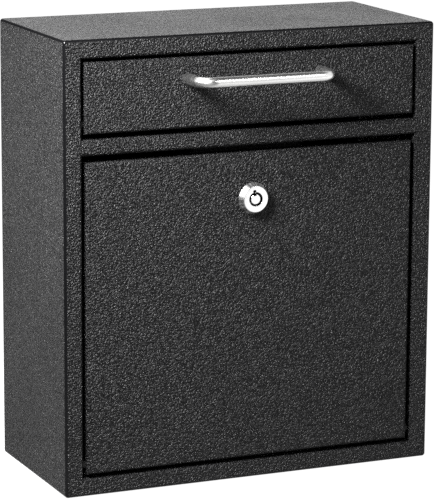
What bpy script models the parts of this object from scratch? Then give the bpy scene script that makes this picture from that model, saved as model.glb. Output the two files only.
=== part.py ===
"""Wall-mounted steel mailbox with a tilt-out mail hopper above a locking drop-down door.

Frame: metres, +Z up, +X to the right as seen from the front.  The origin is the centre of
the flat back, which lies against the wall in the plane y = 0.  The front faces -Y.
A "depth" below is a distance behind the front plane, so y = -CASE_DEPTH + depth.
"""

import math

import bmesh
import bpy
from mathutils import Matrix, Vector

# ---- driving dimensions -------------------------------------------------------------
CASE_WIDTH = 0.268
CASE_HEIGHT = 0.305
CASE_DEPTH = 0.121
SHEET = 0.0012  # every folded panel is the same gauge of steel

CASE_BEND = 0.0022  # outer radius of the folds between the case's walls
FRAME_BEND = 0.003  # outer radius of the folds round the two openings
PANEL_BEND = 0.0022  # outer radius of the folds of hopper, door and back
BEND_STEPS = 4

JAMB_WIDTH = 0.013  # frame left and right of the openings
HEAD_HEIGHT = 0.013  # frame above the hopper
RAIL_HEIGHT = 0.0108  # frame between the hopper and the door
SILL_HEIGHT = 0.012  # frame below the door
HOPPER_OPENING = 0.0527
RETURN_DEPTH = 0.012  # the frame's folded-in edges, and the flanges of the panels

FIT_GAP = 0.0003  # between pieces that are welded or screwed together
STOP_GAP = 0.0003  # between a closed panel and its stop

HOPPER_SIDE_GAP = 0.002
HOPPER_TOP_GAP = 0.0022
HOPPER_BOTTOM_GAP = 0.0035
DOOR_SIDE_GAP = 0.0026
DOOR_TOP_GAP = 0.0045
DOOR_BOTTOM_GAP = 0.0026

ROD_RADIUS = 0.002
ROD_CLEARANCE = 0.0002
ROD_STICKS_OUT = 0.0055  # past the opening's side, into the hollow jamb
ROD_SIDES = 24
PIVOT_INSET = 0.0065  # of both pivots: their depth, and their height above the panel's edge
HOPPER_OPEN_DEG = 50.0

CAP_RADIUS = 0.0038
CAP_THICKNESS = 0.0012
SPACER_RADIUS = 0.0032

SCOOP_FLOOR_REACH = 0.0535  # from the pivot to the floor's rear edge
SCOOP_SLOPE_DEG = 15.0  # the floor falls this much towards the rear when closed
SCOOP_LIP = 0.008
SCOOP_BEND = 0.0022
WING_ARC_STEPS = 14
STOP_TAB_INNER = 0.033
STOP_TAB_REACH = 0.004  # past the opening's side, behind the jamb

HANDLE_CENTRES = 0.096
HANDLE_RADIUS = 0.0036
HANDLE_STANDOFF = 0.0242  # panel face to the bar's centre
HANDLE_CORNER = 0.0115  # bend radius of the bar's centre line
HANDLE_DROP = 0.0138  # below the hopper panel's top edge
SCREW_RADIUS = 0.002
SCREW_CLEARANCE = 0.0002
SCREW_GRIP = 0.008  # screw in the handle's leg
SCREW_HEAD_RADIUS = 0.0038
SCREW_HEAD_HEIGHT = 0.0024
WASHER_RADIUS = 0.005
WASHER_THICKNESS = 0.0008

LOCK_DROP = 0.031  # below the door's top edge
LOCK_BASE_RADIUS = 0.0108
LOCK_FACE_RADIUS = 0.0088
LOCK_HEAD_HEIGHT = 0.005
LOCK_FACE_EDGE = 0.0004
BARREL_RADIUS = 0.00925
BARREL_ACROSS_FLATS = 0.016
BARREL_DEPTH = 0.014  # rear end of the barrel behind the front plane
KEYWAY_RADIUS = 0.0048
POST_RADIUS = 0.0034
PLUG_RADIUS = 0.0067
PLUG_CLEARANCE = 0.0002
PLUG_STEP_DEPTH = 0.0042
PIN_SEAT_DEPTH = 0.0003  # floor of the ring-shaped keyway
KEY_NOTCH_WIDTH = 0.0022
KEY_NOTCH_REACH = 0.0016
KEY_NOTCH_TURN_DEG = 9.0  # anticlockwise from the top, seen from the front
PIN_COUNT = 7
PIN_RADIUS = 0.00038
PIN_HOLE_RADIUS = 0.00045
PIN_RING_RADIUS = 0.00402
NUT_ACROSS_FLATS = 0.024
NUT_THICKNESS = 0.003
LOCK_WASHER_RADIUS = 0.0125
TANG_SIDE = 0.006
CAM_GAP = 0.0005
CAM_THICKNESS = 0.002
CAM_REACH = 0.030
CAM_ROOT_RADIUS = 0.008
CAM_TIP_RADIUS = 0.0055
TURNED_SIDES = 48

STRIKE_LENGTH = 0.080
STRIKE_DROP = 0.0125  # how far its upright leg hangs below the rail
STRIKE_FRONT_DEPTH = 0.0075
STOP_HEIGHT = 0.014
STOP_LEG = 0.014
STOP_RISE = 0.008  # stop bracket's lower edge above the hopper's pivot

WALL_HOLE_RADIUS = 0.0035
WALL_HOLE_SPACING_X = 0.180
WALL_HOLE_SPACING_Z = 0.210

# ---- places worked out from them ----------------------------------------------------
FRONT = -CASE_DEPTH
TOP = CASE_HEIGHT / 2
OPENING_HALF = CASE_WIDTH / 2 - JAMB_WIDTH
HOPPER_OPENING_TOP = TOP - HEAD_HEIGHT
RAIL_TOP = HOPPER_OPENING_TOP - HOPPER_OPENING
RAIL_BOTTOM = RAIL_TOP - RAIL_HEIGHT
SILL_TOP = -TOP + SILL_HEIGHT
WALL_INSIDE = CASE_WIDTH / 2 - SHEET

HOPPER_HALF = OPENING_HALF - HOPPER_SIDE_GAP
HOPPER_LOW = RAIL_TOP + HOPPER_BOTTOM_GAP
HOPPER_HIGH = HOPPER_OPENING_TOP - HOPPER_TOP_GAP
HOPPER_PIVOT = Vector((0, FRONT + PIVOT_INSET, HOPPER_LOW + PIVOT_INSET))
WING_RADIUS = HOPPER_HIGH - SHEET - FIT_GAP - HOPPER_PIVOT.z  # just under the top flange

DOOR_HALF = OPENING_HALF - DOOR_SIDE_GAP
DOOR_LOW = SILL_TOP + DOOR_BOTTOM_GAP
DOOR_HIGH = RAIL_BOTTOM - DOOR_TOP_GAP
DOOR_PIVOT = Vector((0, FRONT + PIVOT_INSET, DOOR_LOW + PIVOT_INSET))

WIDEST_BEND = max(CASE_BEND, FRAME_BEND, PANEL_BEND, SCOOP_BEND)
HANDLE_Z = HOPPER_HIGH - HANDLE_DROP
LOCK_AXIS = Vector((0, FRONT, DOOR_HIGH - LOCK_DROP))
STOP_FACE = FRONT + RETURN_DEPTH + STOP_GAP
ROD_HALF = OPENING_HALF + ROD_STICKS_OUT


# ---- scene, materials and shared tools ----------------------------------------------
def clear_scene():
    for obj in list(bpy.data.objects):
        bpy.data.objects.remove(obj)
    for group in list(bpy.data.collections):
        bpy.data.collections.remove(group)


def new_collection(name):
    group = bpy.data.collections.new(name)
    bpy.context.scene.collection.children.link(group)
    return group


def material(name, colour, roughness, metallic):
    made = bpy.data.materials.new(name)
    made.use_nodes = True
    shader = made.node_tree.nodes["Principled BSDF"]
    shader.inputs["Base Color"].default_value = (*colour, 1.0)
    shader.inputs["Roughness"].default_value = roughness
    shader.inputs["Metallic"].default_value = metallic
    made.diffuse_color = (*colour, 1.0)
    return made


clear_scene()
PARTS = new_collection("wall_mailbox")
CUTTERS = new_collection("cutters")
BLACK_COAT = material("textured_black_coat", (0.045, 0.045, 0.047), 0.45, 0.0)
SATIN_STEEL = material("satin_steel", (0.78, 0.78, 0.77), 0.28, 1.0)
BRIGHT_CHROME = material("bright_chrome", (0.85, 0.85, 0.86), 0.12, 1.0)
ZINC = material("zinc_plate", (0.62, 0.63, 0.64), 0.35, 1.0)
NYLON = material("black_nylon", (0.03, 0.03, 0.03), 0.5, 0.0)


def pivot_empty(name, place):
    empty = bpy.data.objects.new(name, None)
    empty.location = place
    PARTS.objects.link(empty)
    return empty


HOPPER_BODY = pivot_empty("hopper_pivot", HOPPER_PIVOT)
DOOR_BODY = pivot_empty("door_pivot", DOOR_PIVOT)
PLUG_BODY = pivot_empty("lock_pivot", LOCK_AXIS)


def object_from(bm, name, coat, body=None, sheet=False):
    """Makes bm an object that is placed by its location, under its moving body if any.

    A sheet is an open surface: it gets its folds' radii and then its thickness, inwards.
    """
    if not sheet:
        bmesh.ops.recalc_face_normals(bm, faces=bm.faces)
    corners = [
        Vector([pick(v.co[axis] for v in bm.verts) for axis in range(3)]) for pick in (min, max)
    ]
    centre = (corners[0] + corners[1]) / 2
    bmesh.ops.translate(bm, verts=bm.verts, vec=-centre)
    mesh = bpy.data.meshes.new(name)
    bm.to_mesh(mesh)
    bm.free()
    mesh.materials.append(coat)
    mesh.shade_smooth()
    mesh.set_sharp_from_angle(angle=math.radians(35))
    obj = bpy.data.objects.new(name, mesh)
    obj.location = centre
    PARTS.objects.link(obj)
    if body is not None:
        obj.parent = body
        obj.location -= body.location
    if sheet:
        bend = obj.modifiers.new("folds", "BEVEL")
        bend.limit_method = "WEIGHT"
        bend.width = WIDEST_BEND
        bend.segments = BEND_STEPS
        gauge = obj.modifiers.new("gauge", "SOLIDIFY")
        gauge.thickness = SHEET
        gauge.offset = -1.0
        gauge.use_even_offset = True
    return obj


def cutter_from(bm, name):
    mesh = bpy.data.meshes.new(name)
    bmesh.ops.recalc_face_normals(bm, faces=bm.faces)
    bm.to_mesh(mesh)
    bm.free()
    obj = bpy.data.objects.new(name, mesh)
    CUTTERS.objects.link(obj)
    obj.hide_render = True
    obj.display_type = "WIRE"
    return obj


def boolean(obj, cutter, operation="DIFFERENCE"):
    change = obj.modifiers.new(cutter.name, "BOOLEAN")
    change.operation = operation
    change.object = cutter
    change.solver = "EXACT"


def new_sheet():
    """An empty mesh whose edges can carry the weights that make them folds."""
    bm = bmesh.new()
    bm.edges.layers.float.new("bevel_weight_edge")
    return bm


def box_mesh(low, high):
    """A box between two corners."""
    bm = new_sheet()
    low, high = Vector(low), Vector(high)
    bmesh.ops.create_cube(bm, size=1.0)
    bmesh.ops.scale(bm, verts=bm.verts, vec=high - low)
    bmesh.ops.translate(bm, verts=bm.verts, vec=(low + high) / 2)
    return bm


def rod_mesh(radius, start, end, sides=ROD_SIDES, end_radius=None):
    """A cylinder or cone between two points on a line along one axis."""
    bm = bmesh.new()
    start, end = Vector(start), Vector(end)
    along = end - start
    bmesh.ops.create_cone(
        bm,
        cap_ends=True,
        segments=sides,
        radius1=radius,
        radius2=radius if end_radius is None else end_radius,
        depth=along.length,
    )
    turn = along.to_track_quat("Z", "Y").to_matrix().to_4x4()
    bmesh.ops.transform(bm, verts=bm.verts, matrix=Matrix.Translation((start + end) / 2) @ turn)
    return bm


def ring_mesh(inner, outer, start, end, sides=TURNED_SIDES):
    """A flat ring or a bush: a band of quads bored right through."""
    return turned_mesh([(outer, 0), (outer, 1), (inner, 1), (inner, 0)], start, end, sides, True)


def turned_mesh(profile, start, end, sides=TURNED_SIDES, bored=False):
    """Turns (radius, share of the way from start to end) about the line through both."""
    start, end = Vector(start), Vector(end)
    along = end - start
    places = [(radius, 0, share * along.length) for radius, share in reversed(profile)]
    lines = [(i, i + 1) for i in range(len(places) - 1)]
    if bored:
        lines.append((len(places) - 1, 0))
    mesh = bpy.data.meshes.new("profile")
    mesh.from_pydata(places, lines, [])
    guide = bpy.data.objects.new("profile", mesh)
    screw = guide.modifiers.new("turn", "SCREW")
    screw.steps = sides
    screw.render_steps = sides
    screw.use_merge_vertices = True
    screw.merge_threshold = 0.00001
    bm = baked(guide)
    turn = along.to_track_quat("Z", "Y").to_matrix().to_4x4()
    bmesh.ops.transform(bm, verts=bm.verts, matrix=Matrix.Translation(start) @ turn)
    return bm


def baked(guide):
    """A guide object's evaluated shape, welded; the guide is used up."""
    CUTTERS.objects.link(guide)
    bpy.context.view_layer.update()
    evaluated = guide.evaluated_get(bpy.context.evaluated_depsgraph_get())
    mesh = bpy.data.meshes.new_from_object(evaluated)
    bm = bmesh.new()
    bm.from_mesh(mesh)
    bmesh.ops.remove_doubles(bm, verts=bm.verts, dist=0.000001)
    source = guide.data
    bpy.data.objects.remove(guide)
    bpy.data.batch_remove((source, mesh))
    return bm


def fold(bm, edges, radius):
    """Marks edges of an open sheet as folds of this outer radius."""
    weight = bm.edges.layers.float["bevel_weight_edge"]
    for edge in edges:
        edge[weight] = radius / WIDEST_BEND


def faces_at(bm, axis, value):
    return [f for f in bm.faces if all(abs(v.co[axis] - value) < 1e-6 for v in f.verts)]


def tray_mesh(half, low, high, face_y, open_y, bend):
    """A folded tray: a flat face at face_y, with flanges that end at open_y."""
    bm = box_mesh((-half, min(face_y, open_y), low), (half, max(face_y, open_y), high))
    bmesh.ops.delete(bm, geom=faces_at(bm, 1, open_y), context="FACES")
    fold(bm, faces_at(bm, 1, face_y)[0].edges, bend)
    return bm


def angle_mesh(corners, low, high, axis):
    """A folded angle: an open L-shaped line of three corners, swept between low and high."""
    bm = new_sheet()
    ends = []
    for value in (low, high):
        row = []
        for corner in corners:
            place = list(corner)
            place.insert(axis, value)
            row.append(bm.verts.new(place))
        ends.append(row)
    for i in range(len(corners) - 1):
        bm.faces.new((ends[0][i], ends[0][i + 1], ends[1][i + 1], ends[1][i]))
    fold(bm, [bm.edges.get((ends[0][1], ends[1][1]))], PANEL_BEND)
    return bm


def flat_blank(outline, thickness, name):
    """A flat outline in X and Y as a filled 2D curve, made a mesh that is centred on z = 0."""
    curve = bpy.data.curves.new(name, "CURVE")
    curve.dimensions = "2D"
    curve.fill_mode = "BOTH"
    curve.extrude = thickness / 2
    spline = curve.splines.new("POLY")
    spline.points.add(len(outline) - 1)
    for point, (x, y) in zip(spline.points, outline):
        point.co = (x, y, 0, 1)
    spline.use_cyclic_u = True
    return baked(bpy.data.objects.new(name, curve))


def arc(radius, start_deg, end_deg, steps):
    """Points on a circle about the origin, angles anticlockwise from the first axis."""
    angles = [math.radians(start_deg + (end_deg - start_deg) * i / steps) for i in range(steps + 1)]
    return [(radius * math.cos(a), radius * math.sin(a)) for a in angles]


# ---- case ---------------------------------------------------------------------------
def cut_openings(bm):
    """Cuts the hopper's and the door's openings out of the front, mitred at their corners.

    The front is split along the middle of the rail.  Each half is inset, and the inset's
    corners are moved to the opening's.  The rail's mitres end inside the jambs, so that no
    line crosses the folds of the case.
    """
    middle = (RAIL_TOP + RAIL_BOTTOM) / 2
    front = faces_at(bm, 1, FRONT)[0]
    geometry = [front, *front.edges, *front.verts]
    cut = bmesh.ops.bisect_plane(
        bm, geom=geometry, plane_co=(0, 0, middle), plane_no=(0, 0, 1)
    )
    rail = [item for item in cut["geom_cut"] if isinstance(item, bmesh.types.BMEdge)]
    split = bmesh.ops.subdivide_edges(bm, edges=rail, cuts=2)
    for vert in split["geom_inner"]:
        if isinstance(vert, bmesh.types.BMVert):
            vert.co.x = math.copysign(OPENING_HALF + RAIL_HEIGHT / 2, vert.co.x)
    for face in faces_at(bm, 1, FRONT):
        upper = face.calc_center_median().z > middle
        low = RAIL_TOP if upper else SILL_TOP
        high = HOPPER_OPENING_TOP if upper else RAIL_BOTTOM
        bmesh.ops.inset_individual(bm, faces=[face], thickness=RAIL_HEIGHT / 4)
        halfway = face.calc_center_bounds().z
        for vert in face.verts:
            vert.co.x = math.copysign(OPENING_HALF, vert.co.x)
            vert.co.z = high if vert.co.z > halfway else low
        bmesh.ops.delete(bm, geom=[face], context="FACES_ONLY")
    bmesh.ops.remove_doubles(bm, verts=bm.verts, dist=0.000001)

    def at_rail_end(vert):
        return abs(vert.co.z - middle) < 1e-6 and abs(vert.co.x) > CASE_WIDTH / 2 - 1e-6

    across = [
        edge
        for edge in bm.edges
        if any(at_rail_end(v) for v in edge.verts) and abs(edge.verts[0].co.x - edge.verts[1].co.x) > 1e-6
    ]
    bmesh.ops.dissolve_edges(bm, edges=across, use_verts=True)
    return [
        edge for edge in bm.edges if edge.is_boundary and all(v.co.y < FRONT + 1e-6 for v in edge.verts)
    ]


def case_shell():
    """One folded and welded sheet: four walls, and a front frame with two openings."""
    bm = box_mesh((-CASE_WIDTH / 2, FRONT, -TOP), (CASE_WIDTH / 2, 0, TOP))
    bmesh.ops.delete(bm, geom=faces_at(bm, 1, 0), context="FACES")
    rims = cut_openings(bm)
    returned = bmesh.ops.extrude_edge_only(bm, edges=rims)
    moved = [v for v in returned["geom"] if isinstance(v, bmesh.types.BMVert)]
    bmesh.ops.translate(bm, verts=moved, vec=(0, RETURN_DEPTH, 0))
    bmesh.ops.recalc_face_normals(bm, faces=bm.faces)
    fold(bm, [e for e in rims if e.is_valid and not e.is_boundary], FRAME_BEND)
    outer = [
        edge
        for edge in bm.edges
        if not edge.is_boundary
        and edge.calc_face_angle(0) > math.radians(45)
        and all(max(abs(v.co.x) - CASE_WIDTH / 2, abs(v.co.z) - TOP) > -1e-6 for v in edge.verts)
    ]
    fold(bm, outer, CASE_BEND)
    shell = object_from(bm, "case_shell", BLACK_COAT, sheet=True)
    for pivot, label in ((HOPPER_PIVOT, "hopper"), (DOOR_PIVOT, "door")):
        for side, sign in (("left", -1), ("right", 1)):
            hole = rod_mesh(
                ROD_RADIUS + ROD_CLEARANCE,
                (sign * (OPENING_HALF - SHEET), pivot.y, pivot.z),
                (sign * (OPENING_HALF + 2 * SHEET), pivot.y, pivot.z),
            )
            boolean(shell, cutter_from(hole, f"{label}_rod_hole_{side}"))


def back_panel():
    """The welded back, whose flanges point forwards inside the case's walls."""
    half = WALL_INSIDE - FIT_GAP
    high = TOP - SHEET - FIT_GAP
    bm = tray_mesh(half, -high, high, 0, -RETURN_DEPTH, PANEL_BEND)
    corners = [e for e in bm.edges if abs(e.verts[0].co.y - e.verts[1].co.y) > RETURN_DEPTH / 2]
    fold(bm, corners, PANEL_BEND)
    panel = object_from(bm, "back_panel", BLACK_COAT, sheet=True)
    for row, z in (("low", -WALL_HOLE_SPACING_Z / 2), ("high", WALL_HOLE_SPACING_Z / 2)):
        for side, x in (("left", -WALL_HOLE_SPACING_X / 2), ("right", WALL_HOLE_SPACING_X / 2)):
            hole = rod_mesh(WALL_HOLE_RADIUS, (x, -2 * SHEET, z), (x, SHEET, z), TURNED_SIDES)
            boolean(panel, cutter_from(hole, f"wall_hole_{row}_{side}"))


def strike_angle():
    """The catch under the rail: the door closes against it and the lock's cam hooks behind."""
    under = RAIL_BOTTOM - FIT_GAP
    corners = [
        (FRONT + STRIKE_FRONT_DEPTH, under),
        (STOP_FACE + SHEET, under),
        (STOP_FACE + SHEET, under - STRIKE_DROP),
    ]
    bm = angle_mesh(corners, -STRIKE_LENGTH / 2, STRIKE_LENGTH / 2, 0)
    face_away_from(bm, Vector((0, FRONT, under - STRIKE_DROP)))
    object_from(bm, "strike_angle", BLACK_COAT, sheet=True)


def hopper_stops():
    """Two angles on the side walls, which the hopper's flanges meet as it closes."""
    low = HOPPER_PIVOT.z + STOP_RISE
    for side, sign in (("left", -1), ("right", 1)):
        wall = WALL_INSIDE - FIT_GAP
        corners = [
            (sign * (HOPPER_HALF - SHEET + FIT_GAP), STOP_FACE),
            (sign * wall, STOP_FACE),
            (sign * wall, STOP_FACE + STOP_LEG),
        ]
        bm = angle_mesh(corners, low, low + STOP_HEIGHT, 2)
        face_away_from(bm, Vector((0, STOP_FACE + STOP_LEG, low)))
        object_from(bm, f"hopper_stop_{side}", BLACK_COAT, sheet=True)


def face_away_from(bm, point):
    """Turns an open sheet's faces so that its thickness goes towards the point."""
    bmesh.ops.recalc_face_normals(bm, faces=bm.faces)
    face = max(bm.faces, key=lambda f: f.calc_area())
    if (face.calc_center_median() - point).dot(face.normal) < 0:
        bmesh.ops.reverse_faces(bm, faces=bm.faces)



# ---- pivot rods ---------------------------------------------------------------------
def pivot_rod(label, pivot, panel_half):
    """A steel rod across the opening, with push-on caps in the jambs and nylon spacers."""
    ends = [(sign * ROD_HALF, pivot.y, pivot.z) for sign in (-1, 1)]
    object_from(rod_mesh(ROD_RADIUS, *ends), f"{label}_rod", ZINC)
    bore = ROD_RADIUS + ROD_CLEARANCE
    for side, sign in (("left", -1), ("right", 1)):
        cap_start = sign * (OPENING_HALF + SHEET + FIT_GAP)
        cap_end = cap_start + sign * CAP_THICKNESS
        cap = turned_mesh(
            [(CAP_RADIUS, 0), (CAP_RADIUS, 0.4), (bore + 0.0006, 1), (bore, 1), (bore, 0)],
            (cap_start, pivot.y, pivot.z),
            (cap_end, pivot.y, pivot.z),
            ROD_SIDES,
            True,
        )
        object_from(cap, f"{label}_rod_cap_{side}", ZINC)
        spacer = ring_mesh(
            bore,
            SPACER_RADIUS,
            (sign * (panel_half + FIT_GAP), pivot.y, pivot.z),
            (sign * (OPENING_HALF - FIT_GAP), pivot.y, pivot.z),
            ROD_SIDES,
        )
        object_from(spacer, f"{label}_spacer_{side}", NYLON)


def cut_pivot_holes(panel, body, half):
    for side, sign in (("left", -1), ("right", 1)):
        x = sign * half
        hole = rod_mesh(
            ROD_RADIUS + ROD_CLEARANCE,
            (x - sign * 2 * SHEET, body.location.y, body.location.z),
            (x + sign * SHEET, body.location.y, body.location.z),
        )
        boolean(panel, cutter_from(hole, f"{panel.name}_pivot_hole_{side}"))


# ---- hopper -------------------------------------------------------------------------
def hopper_panel():
    bm = tray_mesh(HOPPER_HALF, HOPPER_LOW, HOPPER_HIGH, FRONT, FRONT + RETURN_DEPTH, PANEL_BEND)
    panel = object_from(bm, "hopper_panel", BLACK_COAT, HOPPER_BODY, sheet=True)
    cut_pivot_holes(panel, HOPPER_BODY, HOPPER_HALF)
    for side, sign in (("left", -1), ("right", 1)):
        x = sign * HANDLE_CENTRES / 2
        hole = rod_mesh(
            SCREW_RADIUS + SCREW_CLEARANCE,
            (x, FRONT - SHEET, HANDLE_Z),
            (x, FRONT + 2 * SHEET, HANDLE_Z),
        )
        boolean(panel, cutter_from(hole, f"handle_hole_{side}"))


def hopper_scoop():
    """Floor and two wings behind the hopper's face, folded from one sheet.

    The wings are sectors about the pivot, so they turn inside the opening.  The floor
    passes just above the rod and falls towards the rear, so that mail slides off it.
    """
    slope = math.radians(SCOOP_SLOPE_DEG)
    lift = (ROD_RADIUS + FIT_GAP) / math.cos(slope)  # underside of the floor above the pivot

    def floor_at(y):
        return lift - y * math.tan(slope)

    front_y = -PIVOT_INSET + SHEET + FIT_GAP
    rear_y = SCOOP_FLOOR_REACH * math.cos(slope)
    wing_rear_y = WING_RADIUS * math.cos(slope)
    outline = [(front_y, floor_at(front_y)), (rear_y, floor_at(rear_y))]
    start = math.degrees(math.atan2(floor_at(wing_rear_y) + SCOOP_LIP, wing_rear_y))
    end = math.degrees(math.acos(front_y / WING_RADIUS))
    outline.append((rear_y, floor_at(rear_y) + SHEET * 2))
    outline += arc(WING_RADIUS, start, end, WING_ARC_STEPS)
    half = HOPPER_HALF - SHEET - FIT_GAP
    bm = new_sheet()
    side = bm.faces.new([bm.verts.new((-half, y, z)) for y, z in outline])
    swept = bmesh.ops.extrude_face_region(bm, geom=[side])
    moved = [v for v in swept["geom"] if isinstance(v, bmesh.types.BMVert)]
    bmesh.ops.translate(bm, verts=moved, vec=(2 * half, 0, 0))
    bmesh.ops.recalc_face_normals(bm, faces=bm.faces)
    lip_top = floor_at(front_y) + SCOOP_LIP
    front_faces = faces_at(bm, 1, front_y)
    front_geom = {item for f in front_faces for item in (f, *f.edges, *f.verts)}
    bmesh.ops.bisect_plane(bm, geom=list(front_geom), plane_co=(0, 0, lip_top), plane_no=(0, 0, 1))

    def kept(face):
        centre = face.calc_center_median()
        if abs(face.normal.x) > 0.9:
            return True
        if abs(centre.y - front_y) < 1e-6:
            return centre.z < lip_top
        return face.normal.z < -0.5

    bmesh.ops.delete(bm, geom=[f for f in bm.faces if not kept(f)], context="FACES")
    creases = [
        e
        for e in bm.edges
        if len(e.link_faces) == 2 and e.link_faces[0].normal.dot(e.link_faces[1].normal) < 0.5
    ]
    fold(bm, creases, SCOOP_BEND)
    bmesh.ops.translate(bm, verts=bm.verts, vec=HOPPER_PIVOT)
    scoop = object_from(bm, "hopper_scoop", BLACK_COAT, HOPPER_BODY, sheet=True)
    for side_name, sign in (("left", -1), ("right", 1)):
        boolean(scoop, stop_tab(side_name, sign, half), "UNION")


def stop_tab(side, sign, wing_outside):
    """A tab bent out from a wing.  It meets the jamb's folded edge when the hopper is open."""
    reach_to = OPENING_HALF + STOP_TAB_REACH
    meet = RETURN_DEPTH - PIVOT_INSET + STOP_GAP
    half_sheet = SHEET / 2
    angle = math.asin((meet + half_sheet) / STOP_TAB_INNER) + math.radians(HOPPER_OPEN_DEG)
    bm = box_mesh(
        (wing_outside - SHEET * 0.6, -half_sheet, STOP_TAB_INNER),
        (reach_to, half_sheet, WING_RADIUS - FIT_GAP),
    )
    if sign < 0:
        bmesh.ops.scale(bm, verts=bm.verts, vec=(-1, 1, 1))
    bmesh.ops.rotate(bm, verts=bm.verts, matrix=Matrix.Rotation(-angle, 3, "X"))
    bmesh.ops.translate(bm, verts=bm.verts, vec=HOPPER_PIVOT)
    return cutter_from(bm, f"scoop_stop_tab_{side}")


def handle():
    """A round bar bent twice, with a tapped hole in the end of each leg."""
    half = HANDLE_CENTRES / 2
    foot = FRONT - FIT_GAP
    bar = FRONT - HANDLE_STANDOFF
    centre = half - HANDLE_CORNER
    left_bend = [(-centre + x, bar + HANDLE_CORNER + y) for x, y in arc(HANDLE_CORNER, 180, 270, 8)]
    right_bend = [(centre + x, bar + HANDLE_CORNER + y) for x, y in arc(HANDLE_CORNER, 270, 360, 8)]
    route = [(-half, foot), *left_bend, *right_bend, (half, foot)]
    curve = bpy.data.curves.new("handle", "CURVE")
    curve.dimensions = "3D"
    curve.bevel_depth = HANDLE_RADIUS
    curve.bevel_resolution = 4
    curve.use_fill_caps = True
    spline = curve.splines.new("POLY")
    spline.points.add(len(route) - 1)
    for point, (x, y) in zip(spline.points, route):
        point.co = (x, y, HANDLE_Z, 1)
    bar_mesh = baked(bpy.data.objects.new("handle_route", curve))
    obj = object_from(bar_mesh, "handle", SATIN_STEEL, HOPPER_BODY)
    for side, sign in (("left", -1), ("right", 1)):
        x = sign * half
        hole = rod_mesh(
            SCREW_RADIUS + SCREW_CLEARANCE,
            (x, foot - SCREW_GRIP - FIT_GAP, HANDLE_Z),
            (x, foot + SHEET, HANDLE_Z),
        )
        boolean(obj, cutter_from(hole, f"tapped_hole_{side}"))


def handle_fixings():
    inside = FRONT + SHEET + FIT_GAP
    for side, sign in (("left", -1), ("right", 1)):
        x = sign * HANDLE_CENTRES / 2
        washer_end = inside + WASHER_THICKNESS
        ring = ring_mesh(
            SCREW_RADIUS + SCREW_CLEARANCE,
            WASHER_RADIUS,
            (x, inside, HANDLE_Z),
            (x, washer_end, HANDLE_Z),
            ROD_SIDES,
        )
        object_from(ring, f"handle_washer_{side}", ZINC, HOPPER_BODY)
        seat = washer_end + FIT_GAP
        tip = FRONT - SCREW_GRIP
        back = seat + SCREW_HEAD_HEIGHT
        screw = pan_screw((x, tip, HANDLE_Z), (x, back, HANDLE_Z), seat - tip)
        object_from(screw, f"handle_screw_{side}", ZINC, HOPPER_BODY)


def pan_screw(tip, back, shank):
    """A screw from its tip to the back of its domed head."""
    length = (Vector(back) - Vector(tip)).length
    seat = shank / length
    dome = seat + (1 - seat) * 0.55
    profile = [
        (0, 0),
        (SCREW_RADIUS * 0.7, 0),
        (SCREW_RADIUS, SCREW_RADIUS * 0.3 / length),
        (SCREW_RADIUS, seat),
        (SCREW_HEAD_RADIUS, seat),
        (SCREW_HEAD_RADIUS, dome),
        (SCREW_HEAD_RADIUS * 0.75, 1),
        (0, 1),
    ]
    return turned_mesh(profile, tip, back, ROD_SIDES)


# ---- door ---------------------------------------------------------------------------
def door_panel():
    bm = tray_mesh(DOOR_HALF, DOOR_LOW, DOOR_HIGH, FRONT, FRONT + RETURN_DEPTH, PANEL_BEND)
    panel = object_from(bm, "door_panel", BLACK_COAT, DOOR_BODY, sheet=True)
    cut_pivot_holes(panel, DOOR_BODY, DOOR_HALF)
    x, z = LOCK_AXIS.x, LOCK_AXIS.z
    hole = rod_mesh(
        BARREL_RADIUS + FIT_GAP, (x, FRONT - SHEET, z), (x, FRONT + 2 * SHEET, z), TURNED_SIDES
    )
    flat = BARREL_ACROSS_FLATS / 2 + FIT_GAP
    for vert in hole.verts:
        vert.co.x = x + max(-flat, min(flat, vert.co.x - x))
    bmesh.ops.remove_doubles(hole, verts=hole.verts, dist=1e-6)
    boolean(panel, cutter_from(hole, "lock_hole"))


# ---- lock ---------------------------------------------------------------------------
def at_lock(depth):
    """The point on the lock's axis that is this far behind the front plane."""
    return LOCK_AXIS + Vector((0, depth, 0))


def key_notch(name, inner, outer, from_depth, to_depth):
    """A radial slot beside the ring-shaped keyway, a little left of the top."""
    half = KEY_NOTCH_WIDTH / 2
    bm = box_mesh((-half, from_depth, inner), (half, to_depth, outer))
    turn = Matrix.Rotation(-math.radians(KEY_NOTCH_TURN_DEG), 3, "Y")
    bmesh.ops.rotate(bm, verts=bm.verts, matrix=turn)
    bmesh.ops.translate(bm, verts=bm.verts, vec=LOCK_AXIS)
    return cutter_from(bm, name)


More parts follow.
